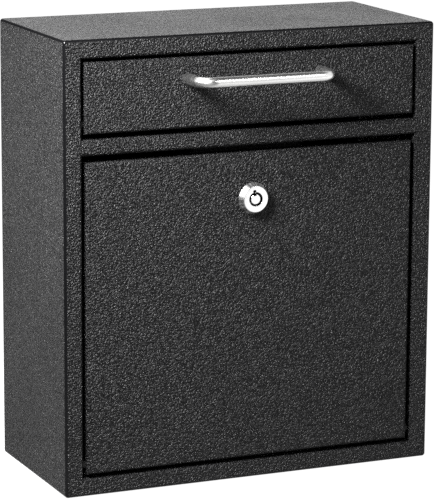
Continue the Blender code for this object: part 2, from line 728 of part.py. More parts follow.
def lock_housing():
    """A turned head and threaded barrel with two flats, bored for the plug."""
    face, seat = -LOCK_HEAD_HEIGHT, -FIT_GAP
    length = BARREL_DEPTH - face
    profile = [
        (KEYWAY_RADIUS, 0),
        (LOCK_FACE_RADIUS - LOCK_FACE_EDGE, 0),
        (LOCK_FACE_RADIUS, LOCK_FACE_EDGE / length),
        (LOCK_BASE_RADIUS, (seat - 0.0008 - face) / length),
        (LOCK_BASE_RADIUS, (seat - face) / length),
        (BARREL_RADIUS, (seat - face) / length),
        (BARREL_RADIUS, 1),
        (PLUG_RADIUS + PLUG_CLEARANCE, 1),
        (PLUG_RADIUS + PLUG_CLEARANCE, (PLUG_STEP_DEPTH - face) / length),
        (KEYWAY_RADIUS, (PLUG_STEP_DEPTH - face) / length),
    ]
    bm = turned_mesh(profile, at_lock(face), at_lock(BARREL_DEPTH), bored=True)
    housing = object_from(bm, "lock_housing", BRIGHT_CHROME, DOOR_BODY)
    for side, sign in (("left", -1), ("right", 1)):
        near, far = sorted((sign * BARREL_ACROSS_FLATS / 2, sign * (BARREL_RADIUS + SHEET)))
        low = at_lock(seat + FIT_GAP / 2) + Vector((near, 0, -LOCK_BASE_RADIUS))
        high = at_lock(BARREL_DEPTH + SHEET) + Vector((far, 0, LOCK_BASE_RADIUS))
        boolean(housing, cutter_from(box_mesh(low, high), f"barrel_flat_{side}"))
    notch = key_notch(
        "housing_key_notch",
        KEYWAY_RADIUS * 0.8,
        KEYWAY_RADIUS + KEY_NOTCH_REACH,
        face - SHEET,
        PIN_SEAT_DEPTH,
    )
    boolean(housing, notch)


def lock_fixings():
    """Washer and hexagon nut that clamp the barrel to the door."""
    start = SHEET + FIT_GAP
    end = start + WASHER_THICKNESS
    bore = BARREL_RADIUS + SCREW_CLEARANCE
    washer = ring_mesh(bore, LOCK_WASHER_RADIUS, at_lock(start), at_lock(end))
    object_from(washer, "lock_washer", ZINC, DOOR_BODY)
    nut_start = end + FIT_GAP
    nut_end = nut_start + NUT_THICKNESS
    corner = NUT_ACROSS_FLATS / 2 / math.cos(math.pi / 6)
    nut = object_from(
        rod_mesh(corner, at_lock(nut_start), at_lock(nut_end), 6), "lock_nut", ZINC, DOOR_BODY
    )
    thread = rod_mesh(bore, at_lock(nut_start - SHEET), at_lock(nut_end + SHEET), TURNED_SIDES)
    boolean(nut, cutter_from(thread, "nut_thread"))


def lock_plug():
    """The part that the key turns: a centre post, a pin carrier and a square tang."""
    front = -LOCK_HEAD_HEIGHT + PLUG_CLEARANCE
    carrier = KEYWAY_RADIUS - PLUG_CLEARANCE
    step = PLUG_STEP_DEPTH + 2 * PLUG_CLEARANCE
    rear = BARREL_DEPTH + PLUG_CLEARANCE
    length = rear - front
    profile = [
        (0, 0),
        (POST_RADIUS - PLUG_CLEARANCE, 0),
        (POST_RADIUS, PLUG_CLEARANCE / length),
        (POST_RADIUS, (PIN_SEAT_DEPTH - front) / length),
        (carrier, (PIN_SEAT_DEPTH - front) / length),
        (carrier, (step - front) / length),
        (PLUG_RADIUS, (step - front) / length),
        (PLUG_RADIUS, 1),
        (0, 1),
    ]
    bm = turned_mesh(profile, at_lock(front), at_lock(rear))
    plug = object_from(bm, "lock_plug", BRIGHT_CHROME, PLUG_BODY)
    half = TANG_SIDE / 2
    tang_end = rear + CAM_GAP + CAM_THICKNESS
    tang = box_mesh(
        at_lock(rear - SHEET) + Vector((-half, 0, -half)),
        at_lock(tang_end) + Vector((half, 0, half)),
    )
    boolean(plug, cutter_from(tang, "plug_tang"), "UNION")
    tapped = rod_mesh(
        SCREW_RADIUS + SCREW_CLEARANCE,
        at_lock(rear - SCREW_GRIP - FIT_GAP),
        at_lock(tang_end + SHEET),
    )
    boolean(plug, cutter_from(tapped, "plug_tapped_hole"))
    notch = key_notch(
        "post_key_notch", POST_RADIUS - 0.0011, POST_RADIUS * 1.4, front - SHEET, front + 0.004
    )
    boolean(plug, notch)
    for i in range(PIN_COUNT):
        seat = pin_place(i)
        hole = rod_mesh(
            PIN_HOLE_RADIUS,
            seat + Vector((0, PIN_SEAT_DEPTH - SHEET, 0)),
            seat + Vector((0, PIN_SEAT_DEPTH + 0.0025, 0)),
            16,
        )
        boolean(plug, cutter_from(hole, f"pin_hole_{i + 1}"))
        pin = rod_mesh(
            PIN_RADIUS,
            seat + Vector((0, PIN_SEAT_DEPTH - 0.0022, 0)),
            seat + Vector((0, PIN_SEAT_DEPTH + 0.0022, 0)),
            12,
        )
        object_from(pin, f"lock_pin_{i + 1}", ZINC, PLUG_BODY)


def pin_place(index):
    """Pins are spread evenly round the keyway, with none at the key notch."""
    angle = math.tau * (index + 0.5) / PIN_COUNT + math.radians(90 + KEY_NOTCH_TURN_DEG)
    across = Vector((math.cos(angle), 0, math.sin(angle)))
    return LOCK_AXIS + across * PIN_RING_RADIUS


def lock_cam():
    """A flat arm on the tang, pointing left when the lock is open."""
    start = BARREL_DEPTH + CAM_GAP
    end = start + CAM_THICKNESS
    tip_x = -(CAM_REACH - CAM_TIP_RADIUS)
    outline = [(tip_x + x, y) for x, y in arc(CAM_TIP_RADIUS, 90, 270, 12)]
    outline += arc(CAM_ROOT_RADIUS, -100, 100, 16)
    bm = flat_blank(outline, CAM_THICKNESS, "cam_outline")
    place = Matrix.Translation(at_lock((start + end) / 2)) @ Matrix.Rotation(math.pi / 2, 4, "X")
    bmesh.ops.transform(bm, verts=bm.verts, matrix=place)
    cam = object_from(bm, "lock_cam", ZINC, PLUG_BODY)
    half = TANG_SIDE / 2 + PLUG_CLEARANCE
    square = box_mesh(
        at_lock(start - SHEET) + Vector((-half, 0, -half)),
        at_lock(end + SHEET) + Vector((half, 0, half)),
    )
    boolean(cam, cutter_from(square, "cam_square_hole"))
    washer_start = BARREL_DEPTH + PLUG_CLEARANCE + CAM_GAP + CAM_THICKNESS + FIT_GAP
    washer_end = washer_start + WASHER_THICKNESS
    washer = ring_mesh(
        SCREW_RADIUS + SCREW_CLEARANCE,
        WASHER_RADIUS,
        at_lock(washer_start),
        at_lock(washer_end),
        ROD_SIDES,
    )
    object_from(washer, "cam_washer", ZINC, PLUG_BODY)
    seat = washer_end + FIT_GAP
    tip = BARREL_DEPTH + PLUG_CLEARANCE - SCREW_GRIP
    back = seat + SCREW_HEAD_HEIGHT
    screw = pan_screw(at_lock(tip), at_lock(back), seat - tip)
    object_from(screw, "cam_screw", ZINC, PLUG_BODY)


# ---- build --------------------------------------------------------------------------
case_shell()
back_panel()
strike_angle()
hopper_stops()
pivot_rod("hopper", HOPPER_PIVOT, HOPPER_HALF)
pivot_rod("door", DOOR_PIVOT, DOOR_HALF)
hopper_panel()
hopper_scoop()
handle()
handle_fixings()
door_panel()
lock_housing()
lock_fixings()
lock_plug()
lock_cam()
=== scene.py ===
"""The looks of a wall-mounted steel mailbox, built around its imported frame.

Metres, +Z up, +X to the right as seen from the front.  The back lies on the wall in the
plane y = 0 and the front faces -Y.  A depth is a distance behind the front plane.
"""

import math

import bmesh
import bpy
import numpy as np
from mathutils import Matrix, Vector


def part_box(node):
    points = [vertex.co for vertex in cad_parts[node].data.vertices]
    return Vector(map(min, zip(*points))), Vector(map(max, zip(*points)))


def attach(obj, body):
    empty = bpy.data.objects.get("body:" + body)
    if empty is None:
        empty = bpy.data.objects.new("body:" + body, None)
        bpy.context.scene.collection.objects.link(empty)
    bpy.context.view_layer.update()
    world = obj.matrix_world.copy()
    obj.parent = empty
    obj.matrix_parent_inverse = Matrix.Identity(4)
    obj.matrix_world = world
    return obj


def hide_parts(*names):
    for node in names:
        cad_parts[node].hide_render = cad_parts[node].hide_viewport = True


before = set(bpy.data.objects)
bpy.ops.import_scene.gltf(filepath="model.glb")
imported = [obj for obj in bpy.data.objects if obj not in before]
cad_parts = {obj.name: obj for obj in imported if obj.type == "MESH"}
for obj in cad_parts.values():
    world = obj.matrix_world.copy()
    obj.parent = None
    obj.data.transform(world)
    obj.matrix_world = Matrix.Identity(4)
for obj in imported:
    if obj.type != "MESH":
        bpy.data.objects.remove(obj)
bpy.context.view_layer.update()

# ---- studio -------------------------------------------------------------------------
# A pale floor a little below the box, a white room that is brightest behind it, and soft
# lamps: a near one high on the left, and faint ones overhead, in front and low on the left.

scene = bpy.context.scene
scene.view_settings.view_transform = "Standard"
scene.cycles.caustics_reflective = False
scene.cycles.sample_clamp_indirect = 0.5
scene.cycles.use_denoising = False  # it would wipe off the fine grain of the coat

camera = bpy.data.objects.new("camera", bpy.data.cameras.new("camera"))
scene.collection.objects.link(camera)
scene.camera = camera
VIEW_AZIMUTH = math.radians(-23.744)
VIEW_ELEVATION = math.radians(11.903)
VIEW_ROLL = math.radians(0.2927)
VIEW_DISTANCE = 2.0325
VIEW_TARGET = Vector((0.02774, 0.0, -0.02069))
camera.data.lens = 205.55
camera.data.clip_start = 0.05
camera.data.clip_end = 60
towards_camera = Vector(
    (
        math.sin(VIEW_AZIMUTH) * math.cos(VIEW_ELEVATION),
        -math.cos(VIEW_AZIMUTH) * math.cos(VIEW_ELEVATION),
        math.sin(VIEW_ELEVATION),
    )
)
camera.rotation_mode = "QUATERNION"
level_view = (-towards_camera).to_track_quat("-Z", "Y")
camera.rotation_quaternion = (
    Matrix.Rotation(VIEW_ROLL, 3, towards_camera) @ level_view.to_matrix()
).to_quaternion()
camera.location = VIEW_TARGET + towards_camera * VIEW_DISTANCE

FLOOR_DROP = 0.055  # the opened door hangs a little below the box
floor_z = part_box("case_shell")[0].z - FLOOR_DROP
floor_mesh = bpy.data.meshes.new("floor")
FLOOR_HALF = 12.0
floor_mesh.from_pydata(
    [
        (-FLOOR_HALF, -FLOOR_HALF, floor_z),
        (FLOOR_HALF, -FLOOR_HALF, floor_z),
        (FLOOR_HALF, FLOOR_HALF, floor_z),
        (-FLOOR_HALF, FLOOR_HALF, floor_z),
    ],
    [],
    [(0, 1, 2, 3)],
)
floor = bpy.data.objects.new("floor", floor_mesh)
scene.collection.objects.link(floor)
floor_paint = bpy.data.materials.new("pale_floor")
floor_paint.use_nodes = True
floor_nodes, floor_links = floor_paint.node_tree.nodes, floor_paint.node_tree.links
floor_shader = floor_nodes["Principled BSDF"]
floor_shader.inputs["Base Color"].default_value = (0.18, 0.18, 0.18, 1)
floor_shader.inputs["Roughness"].default_value = 0.9
floor_shader.inputs["Specular IOR Level"].default_value = 0.0
floor_shader.inputs["Emission Color"].default_value = (1, 1, 1, 1)
FLOOR_WHITE = 0.97
FLOOR_DIM, FLOOR_BRIGHT = 0.03, 0.95
FLOOR_BRIGHTENS = (0.91, 0.41, 0)  # to the right and a little backwards
# The floor glows: to the camera it is evenly white; to all other rays it gives painted light, dim
# to the left and in front and bright to the right and behind.
floor_seen = floor_nodes.new("ShaderNodeLightPath")
floor_place = floor_nodes.new("ShaderNodeTexCoord")
floor_across = floor_nodes.new("ShaderNodeVectorMath")
floor_across.operation = "DOT_PRODUCT"
floor_across.inputs[1].default_value = FLOOR_BRIGHTENS
floor_links.new(floor_place.outputs["Object"], floor_across.inputs[0])
floor_depth = floor_nodes.new("ShaderNodeMapRange")
floor_depth.interpolation_type = "SMOOTHSTEP"
floor_depth.inputs["From Min"].default_value = -0.35
floor_depth.inputs["From Max"].default_value = 0.02
floor_depth.inputs["To Min"].default_value = FLOOR_DIM
floor_depth.inputs["To Max"].default_value = FLOOR_BRIGHT
floor_links.new(floor_across.outputs["Value"], floor_depth.inputs["Value"])
floor_reach = floor_nodes.new("ShaderNodeVectorMath")
floor_reach.operation = "LENGTH"
floor_links.new(floor_place.outputs["Object"], floor_reach.inputs[0])
# Painted shadow: the floor's glow is made dimmer close to the box.
floor_near_shadow = floor_nodes.new("ShaderNodeMapRange")
floor_near_shadow.interpolation_type = "SMOOTHSTEP"
floor_near_shadow.inputs["From Min"].default_value = 0.25
floor_near_shadow.inputs["From Max"].default_value = 1.0
floor_near_shadow.inputs["To Min"].default_value = 0.5
floor_near_shadow.inputs["To Max"].default_value = 1.2
floor_links.new(floor_reach.outputs["Value"], floor_near_shadow.inputs["Value"])
floor_shade = floor_nodes.new("ShaderNodeMath")
floor_shade.operation = "MULTIPLY"
floor_links.new(floor_depth.outputs["Result"], floor_shade.inputs[0])
floor_links.new(floor_near_shadow.outputs["Result"], floor_shade.inputs[1])
floor_glow = floor_nodes.new("ShaderNodeMix")
floor_glow.inputs["B"].default_value = FLOOR_WHITE
floor_links.new(floor_seen.outputs["Is Camera Ray"], floor_glow.inputs["Factor"])
floor_links.new(floor_shade.outputs[0], floor_glow.inputs["A"])
floor_links.new(floor_glow.outputs["Result"], floor_shader.inputs["Emission Strength"])
floor_mesh.materials.append(floor_paint)

room = bpy.data.worlds.new("white_room")
scene.world = room
room.use_nodes = True
room_nodes = room.node_tree.nodes
room_links = room.node_tree.links
room_nodes.clear()
room_direction = room_nodes.new("ShaderNodeTexCoord")
room_axes = room_nodes.new("ShaderNodeSeparateXYZ")
room_links.new(room_direction.outputs["Generated"], room_axes.inputs[0])


def room_step(axis, start, end, at_start, at_end):
    """How bright the room is along one axis of the direction: a smooth step between two values."""
    step = room_nodes.new("ShaderNodeMapRange")
    step.interpolation_type = "SMOOTHSTEP"
    step.inputs["From Min"].default_value = start
    step.inputs["From Max"].default_value = end
    step.inputs["To Min"].default_value = at_start
    step.inputs["To Max"].default_value = at_end
    room_links.new(room_axes.outputs[axis], step.inputs["Value"])
    return step.outputs["Result"]


ROOM_DIM = 0.07
ROOM_WALL = 0.95
ROOM_BACK = 2.0
room_wall = room_nodes.new("ShaderNodeMath")
room_wall.operation = "MULTIPLY_ADD"
room_sides = room_nodes.new("ShaderNodeMath")
room_sides.operation = "MULTIPLY"
room_links.new(room_step("X", 0.0, 0.3, 0.0, ROOM_WALL), room_sides.inputs[0])
room_links.new(room_step("Y", 0.3, 0.8, 1.0, ROOM_BACK), room_sides.inputs[1])
room_links.new(room_sides.outputs[0], room_wall.inputs[0])
room_links.new(room_step("Z", 0.5, 0.85, 1.0, 0.0), room_wall.inputs[1])
room_wall.inputs[2].default_value = ROOM_DIM
room_seen = room_nodes.new("ShaderNodeLightPath")
room_mix = room_nodes.new("ShaderNodeMixShader")
room_light = room_nodes.new("ShaderNodeBackground")
room_plain = room_nodes.new("ShaderNodeBackground")
room_plain.inputs["Strength"].default_value = 1.0
room_plain.inputs["Color"].default_value = (1, 1, 1, 1)
room_light.inputs["Color"].default_value = (1, 1, 1, 1)
room_links.new(room_wall.outputs[0], room_light.inputs["Strength"])
room_links.new(room_seen.outputs["Is Camera Ray"], room_mix.inputs[0])
room_links.new(room_light.outputs[0], room_mix.inputs[1])
room_links.new(room_plain.outputs[0], room_mix.inputs[2])
room_out = room_nodes.new("ShaderNodeOutputWorld")
room_links.new(room_mix.outputs[0], room_out.inputs["Surface"])


def soft_lamp(name, place, aim, size, watts):
    """A rectangular area lamp of this width and height at a place, turned to face a point."""
    lamp = bpy.data.lights.new(name, "AREA")
    lamp.shape = "RECTANGLE"
    lamp.size, lamp.size_y = size
    lamp.energy = watts
    holder = bpy.data.objects.new(name, lamp)
    scene.collection.objects.link(holder)
    holder.location = place
    holder.rotation_mode = "QUATERNION"
    holder.rotation_quaternion = (Vector(aim) - Vector(place)).to_track_quat("-Z", "Y")
    holder.visible_camera = False


soft_lamp("left_lamp", (-0.38, -0.31, 0.37), (-0.10, -0.12, 0.06), (0.17, 0.17), 22.0)
soft_lamp("back_lamp", (-0.2, 0.35, 1.1), (0, -0.06, 0.1), (0.5, 0.5), 3.0)
soft_lamp("left_card", (-0.85, -1.25, -0.05), (0, -0.12, 0.04), (0.7, 0.8), 1.1)
soft_lamp("high_strip", (0.35, -0.78, 0.62), (0, -0.12, 0.1), (0.6, 0.06), 1.2)

# ---- case ---------------------------------------------------------------------------
# The outer box: one sheet of 1.2 mm steel, folded into four walls and a front frame whose
# two openings have folded-in edges, welded at the corners and powder coated in black.

CASE_LOW, CASE_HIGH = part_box("case_shell")
HOPPER_LOW, HOPPER_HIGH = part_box("hopper_panel")
DOOR_LOW, DOOR_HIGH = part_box("door_panel")
FRONT = CASE_LOW.y
SHEET = 0.0012
CASE_FOLD = 0.0022
FRAME_FOLD = 0.003
PANEL_FOLD = 0.0022
FLANGE_DEPTH = 0.012
JAMB = 0.013
OPENING_HALF = CASE_HIGH.x - JAMB
HOPPER_OPENING = (HOPPER_LOW.z - 0.0035, HOPPER_HIGH.z + 0.0022)
DOOR_OPENING = (DOOR_LOW.z - 0.0026, DOOR_HIGH.z + 0.0045)
PIVOT_DEPTH = 0.0065
ROD_HOLE = 0.0022


def textured_coat(name, seed):
    """Black powder coat with a fine leathery wrinkle and a satin gloss.

    The wrinkle is made of ridges about 2 mm apart and pebbles of about 1.5 mm, with a finer
    orange peel on them.  Large soft patches change the gloss a little.  The base colour is
    painted darker in the wrinkle's pits than on its ridges, as painted shade.  Along the sharp
    outer folds, which carry the attribute "fold", the coat is thin and smooth, and its colour
    is painted at its darkest there, as painted shade.
    """
    coat = bpy.data.materials.new(name)
    coat.use_nodes = True
    nodes, links = coat.node_tree.nodes, coat.node_tree.links
    shader = nodes["Principled BSDF"]
    shader.inputs["Specular IOR Level"].default_value = 0.13
    place = nodes.new("ShaderNodeTexCoord")
    shift = nodes.new("ShaderNodeMapping")
    shift.inputs["Location"].default_value = (seed * 0.137, seed * 0.071, seed * 0.053)
    links.new(place.outputs["Object"], shift.inputs["Vector"])

    def noise(scale, detail, roughness, distortion):
        made = nodes.new("ShaderNodeTexNoise")
        made.inputs["Scale"].default_value = scale
        made.inputs["Detail"].default_value = detail
        made.inputs["Roughness"].default_value = roughness
        made.inputs["Distortion"].default_value = distortion
        links.new(shift.outputs["Vector"], made.inputs["Vector"])
        return made.outputs["Fac"]

    def mapped(value, low, high, to_low, to_high):
        made = nodes.new("ShaderNodeMapRange")
        made.inputs["From Min"].default_value = low
        made.inputs["From Max"].default_value = high
        made.inputs["To Min"].default_value = to_low
        made.inputs["To Max"].default_value = to_high
        links.new(value, made.inputs["Value"])
        return made.outputs["Result"]

    def joined(operation, first, second):
        made = nodes.new("ShaderNodeMath")
        made.operation = operation
        for socket, value in zip(made.inputs, (first, second)):
            if isinstance(value, float):
                socket.default_value = value
            else:
                links.new(value, socket)
        return made.outputs[0]

    ridges = noise(820, 0.0, 0.5, 0.4)
    pebbles = noise(1250, 0.0, 0.5, 0.2)
    peel = noise(2300, 1.0, 0.5, 0.0)
    height = joined("ADD", mapped(ridges, 0.3, 0.7, 0.0, 1.0), mapped(pebbles, 0.3, 0.7, 0.0, 0.35))
    height = joined("ADD", height, mapped(peel, 0.3, 0.7, 0.0, 0.06))
    # Along the outer folds, marked by the attribute "fold", the wrinkle fades out, the coat gets
    # glossier, and its base colour is painted at its darkest, as painted shade.
    fold_smoothing_and_shade = nodes.new("ShaderNodeAttribute")
    fold_smoothing_and_shade.attribute_name = "fold"
    plain = mapped(fold_smoothing_and_shade.outputs["Fac"], 0.0, 0.2, 1.0, 0.0)
    bump = nodes.new("ShaderNodeBump")
    bump.inputs["Distance"].default_value = 0.0011
    links.new(plain, bump.inputs["Strength"])
    links.new(height, bump.inputs["Height"])
    links.new(bump.outputs["Normal"], shader.inputs["Normal"])
    tone = nodes.new("ShaderNodeMix")
    tone.data_type = "RGBA"
    tone.inputs[6].default_value = (0.0018, 0.0018, 0.0020, 1)
    tone.inputs[7].default_value = (0.013, 0.013, 0.0133, 1)
    # Painted shade: the base colour is made darker in the wrinkle's pits than on its ridges, and
    # darkest of all along the outer folds.
    painted_pit_shade = mapped(height, 0.3, 1.1, 0.0, 1.0)
    links.new(joined("MULTIPLY", painted_pit_shade, plain), tone.inputs[0])
    links.new(tone.outputs[2], shader.inputs["Base Color"])
    patches = mapped(noise(14, 3.0, 0.55, 0.2), 0.3, 0.7, -0.03, 0.04)
    grain_gloss = mapped(height, 0.3, 1.1, 0.44, 0.38)
    gloss = joined("ADD", grain_gloss, patches)
    gloss = joined("ADD", gloss, mapped(plain, 0.0, 1.0, -0.2, 0.0))
    links.new(gloss, shader.inputs["Roughness"])
    return coat


def grid_faces(rows, columns, wrapped):
    """Quads of a grid of points, row by row; wrapped joins the last column to the first."""
    row = np.arange(rows - 1)[:, None]
    column = np.arange(columns if wrapped else columns - 1)[None, :]
    following = (column + 1) % columns
    corners = [row * columns + column, row * columns + following]
    corners += [(row + 1) * columns + following, (row + 1) * columns + column]
    shape = (rows - 1, column.size)
    return np.stack([np.broadcast_to(c, shape) for c in corners], -1).reshape(-1, 4)


def joined_surface(grids):
    """One mesh from several point grids of shape (rows, columns, 3), welded where they meet.

    Each entry is (grid, wrapped).  The faces are made to agree, and turned to look away from
    the middle of the whole surface.
    """
    points, faces, start = [], [], 0
    for grid, wrapped in grids:
        rows, columns = grid.shape[:2]
        points.append(grid.reshape(-1, 3))
        faces.append(grid_faces(rows, columns, wrapped) + start)
        start += rows * columns
    mesh = bpy.data.meshes.new("surface")
    mesh.from_pydata(np.concatenate(points).tolist(), [], np.concatenate(faces).tolist())
    bm = bmesh.new()
    bm.from_mesh(mesh)
    bmesh.ops.remove_doubles(bm, verts=bm.verts, dist=0.000002)
    bmesh.ops.dissolve_degenerate(bm, edges=bm.edges, dist=0.000001)
    bmesh.ops.recalc_face_normals(bm, faces=bm.faces)
    bm.to_mesh(mesh)
    bm.free()
    faces = mesh.polygons
    centres = np.array([face.center for face in faces])
    normals = np.array([face.normal for face in faces])
    areas = np.array([face.area for face in faces])
    middle = (centres.min(0) + centres.max(0)) / 2
    if (((centres - middle) * normals).sum(1) * areas).sum() < 0:
        mesh.flip_normals()
    return mesh


def finished(name, mesh, body, paint, nodes, gauge=0.0, cutters=(), sharp=32):
    """Makes the mesh a piece: given its gauge inwards, cut, shaded, painted, on its body."""
    piece = bpy.data.objects.new(name, mesh)
    scene.collection.objects.link(piece)
    mesh.materials.append(paint)
    if gauge:
        wall = piece.modifiers.new("gauge", "SOLIDIFY")
        wall.thickness = gauge
        wall.offset = -1
        wall.use_even_offset = True
    tools = []
    for cutter in cutters:
        tool = bpy.data.objects.new("cutter", cutter)
        scene.collection.objects.link(tool)
        cut = piece.modifiers.new("cut", "BOOLEAN")
        cut.object = tool
        cut.solver = "EXACT"
        tools.append(tool)
    settled(piece)
    for tool in tools:
        bpy.data.objects.remove(tool)
    piece.data.shade_smooth()
    piece.data.set_sharp_from_angle(angle=math.radians(sharp))
    flats = piece.modifiers.new("flats", "WEIGHTED_NORMAL")
    flats.weight = 100
    flats.keep_sharp = True
    settled(piece)
    piece.data.name = name
    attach(piece, body)
    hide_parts(*nodes)
    return piece


def settled(piece):
    """Puts the result of the piece's modifiers into its mesh."""
    bpy.context.view_layer.update()
    graph = bpy.context.evaluated_depsgraph_get()
    mesh = bpy.data.meshes.new_from_object(piece.evaluated_get(graph), depsgraph=graph)
    piece.modifiers.clear()
    piece.data = mesh


def round_tool(radius, start, end, sides=48):
    """A closed cylinder between two points, as a cutter."""
    start, end = Vector(start), Vector(end)
    along = end - start
    bm = bmesh.new()
    bmesh.ops.create_cone(
        bm, cap_ends=True, segments=sides, radius1=radius, radius2=radius, depth=along.length
    )
    turn = along.to_track_quat("Z", "Y").to_matrix().to_4x4()
    bmesh.ops.transform(bm, verts=bm.verts, matrix=Matrix.Translation((start + end) / 2) @ turn)
    mesh = bpy.data.meshes.new("round_tool")
    bm.to_mesh(mesh)
    bm.free()
    return mesh


def fold_steps(radius, count):
    """A quarter turn as (inset, depth): from the flat face round to the wall behind it."""
    turn = np.linspace(0, math.pi / 2, count + 1)
    return np.stack([radius * (1 - np.sin(turn)), radius * (1 - np.cos(turn))], 1)


def case_walls(cuts_x, cuts_z):
    """The outer fold and the walls, as rings round a rectangle with rounded corners.

    Each ring is inset by the fold's share at its depth, and its corners' radius shrinks by
    as much, so the corners of the front are eighths of a ball.
    """
    profile = np.vstack([fold_steps(CASE_FOLD, 8), [[0, -FRONT * 0.35], [0, -FRONT]]])
    turn = np.linspace(0, math.pi / 2, 9)
    centre_x, centre_z = CASE_HIGH.x - CASE_FOLD, CASE_HIGH.z - CASE_FOLD
    rings = []
    for inset, depth in profile:
        radius = CASE_FOLD - inset
        sides = []
        for quarter in range(4):
            angle = turn + quarter * math.pi / 2
            sign_x = 1 if quarter in (0, 3) else -1
            sign_z = 1 if quarter in (0, 1) else -1
            corner_x = sign_x * centre_x + radius * np.cos(angle)
            corner_z = sign_z * centre_z + radius * np.sin(angle)
            sides.append(np.stack([corner_x, corner_z], 1))
            cuts = cuts_x if quarter in (0, 2) else cuts_z
            order = cuts if quarter in (2, 3) else cuts[::-1]
            reach = centre_z + radius if quarter == 0 else -centre_z - radius
            side = centre_x + radius if quarter == 3 else -centre_x - radius
            straight = [(c, reach) if quarter in (0, 2) else (side, c) for c in order]
            sides.append(np.array(straight))
        flat = np.concatenate(sides)
        rings.append(np.stack([flat[:, 0], np.full(len(flat), FRONT + depth), flat[:, 1]], 1))
    return np.array(rings)


def opening_edge(low, high):
    """The fold and flange round one opening, as square-cornered rings that shrink inwards."""
    profile = np.vstack([fold_steps(FRAME_FOLD, 8), [[0, FLANGE_DEPTH]]])
    signs = np.array([(1, 1), (-1, 1), (-1, 0), (1, 0)])
    x = signs[:, 0] * (OPENING_HALF + profile[:, :1])
    z = np.where(signs[:, 1] > 0, high + profile[:, :1], low - profile[:, :1])
    return np.stack([x, np.broadcast_to(FRONT + profile[:, 1:], x.shape), z], -1)


def case_front(x_lines, z_lines, holes):
    """The flat of the front frame: the cells of a grid, less the cells that are openings."""
    cells = []
    for i in range(len(x_lines) - 1):
        for j in range(len(z_lines) - 1):
            if (i, j) not in holes:
                x, z = np.meshgrid(x_lines[i : i + 2], z_lines[j : j + 2])
                cells.append((np.stack([x, np.full((2, 2), FRONT), z], -1), False))
    return cells


black_coat = textured_coat("textured_black_coat", 1)
frame_x = [-OPENING_HALF - FRAME_FOLD, OPENING_HALF + FRAME_FOLD]
frame_z = [
    DOOR_OPENING[0] - FRAME_FOLD,
    DOOR_OPENING[1] + FRAME_FOLD,
    HOPPER_OPENING[0] - FRAME_FOLD,
    HOPPER_OPENING[1] + FRAME_FOLD,
]
edge_x, edge_z = CASE_HIGH.x - CASE_FOLD, CASE_HIGH.z - CASE_FOLD
case_grids = [
    (case_walls(frame_x, frame_z), True),
    (opening_edge(*HOPPER_OPENING), True),
    (opening_edge(*DOOR_OPENING), True),
]
case_grids += case_front([-edge_x, *frame_x, edge_x], [-edge_z, *frame_z, edge_z], {(1, 1), (1, 3)})
case_rod_holes = [
    round_tool(
        ROD_HOLE,
        (side * (OPENING_HALF - SHEET), FRONT + PIVOT_DEPTH, low.z + PIVOT_DEPTH),
        (side * (OPENING_HALF + 2 * SHEET), FRONT + PIVOT_DEPTH, low.z + PIVOT_DEPTH),
    )
    for low in (HOPPER_LOW, DOOR_LOW)
    for side in (-1, 1)
]
case = finished(
    "case",
    joined_surface(case_grids),
    "case",
    black_coat,
    ["case_shell"],
    gauge=SHEET,
    cutters=case_rod_holes,
)


FULL_LEAN = 0.29  # at 45 degrees


def mark_folds(piece):
    """Writes "fold" on the outer folds: how far the surface there leans off the main axes.

    A point's share of each fold is its distance past the flat, over the fold's radius; the
    shares are the normal there.  The lean is (1 - its largest part) / FULL_LEAN.
    """
    mesh = piece.data
    place = np.empty(len(mesh.vertices) * 3, np.float32)
    mesh.vertices.foreach_get("co", place)
    place = place.reshape(-1, 3)
    past = np.abs(place) - np.array([edge_x, 0, edge_z])
    past[:, 1] = FRONT + CASE_FOLD - place[:, 1]
    share = np.clip(past / CASE_FOLD, 0, 1)
    length = np.linalg.norm(share, axis=1)
    slant = (1 - share.max(1) / np.maximum(length, 0.01)) / FULL_LEAN
    lean = np.where(length > 0.5, slant, 0).clip(0, 1).astype(np.float32)
    mesh.attributes.new("fold", "FLOAT", "POINT").data.foreach_set("value", lean)


mark_folds(case)

# ---- parts inside the case ----------------------------------------------------------
# The back is a shallow folded tray welded inside the walls.  The catch under the rail and
# the two stops on the walls are folded angles of the same steel, coated with the case.

for node in ("back_panel", "strike_angle", "hopper_stop_left", "hopper_stop_right"):
    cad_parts[node].data.materials[0] = black_coat

# ---- hinge rods ---------------------------------------------------------------------
# Two zinc-plated steel rods, pushed through the openings' edges and the panels' flanges.
# Pressed-on caps hold their ends, and nylon spacers fill the gaps at the panels' sides.


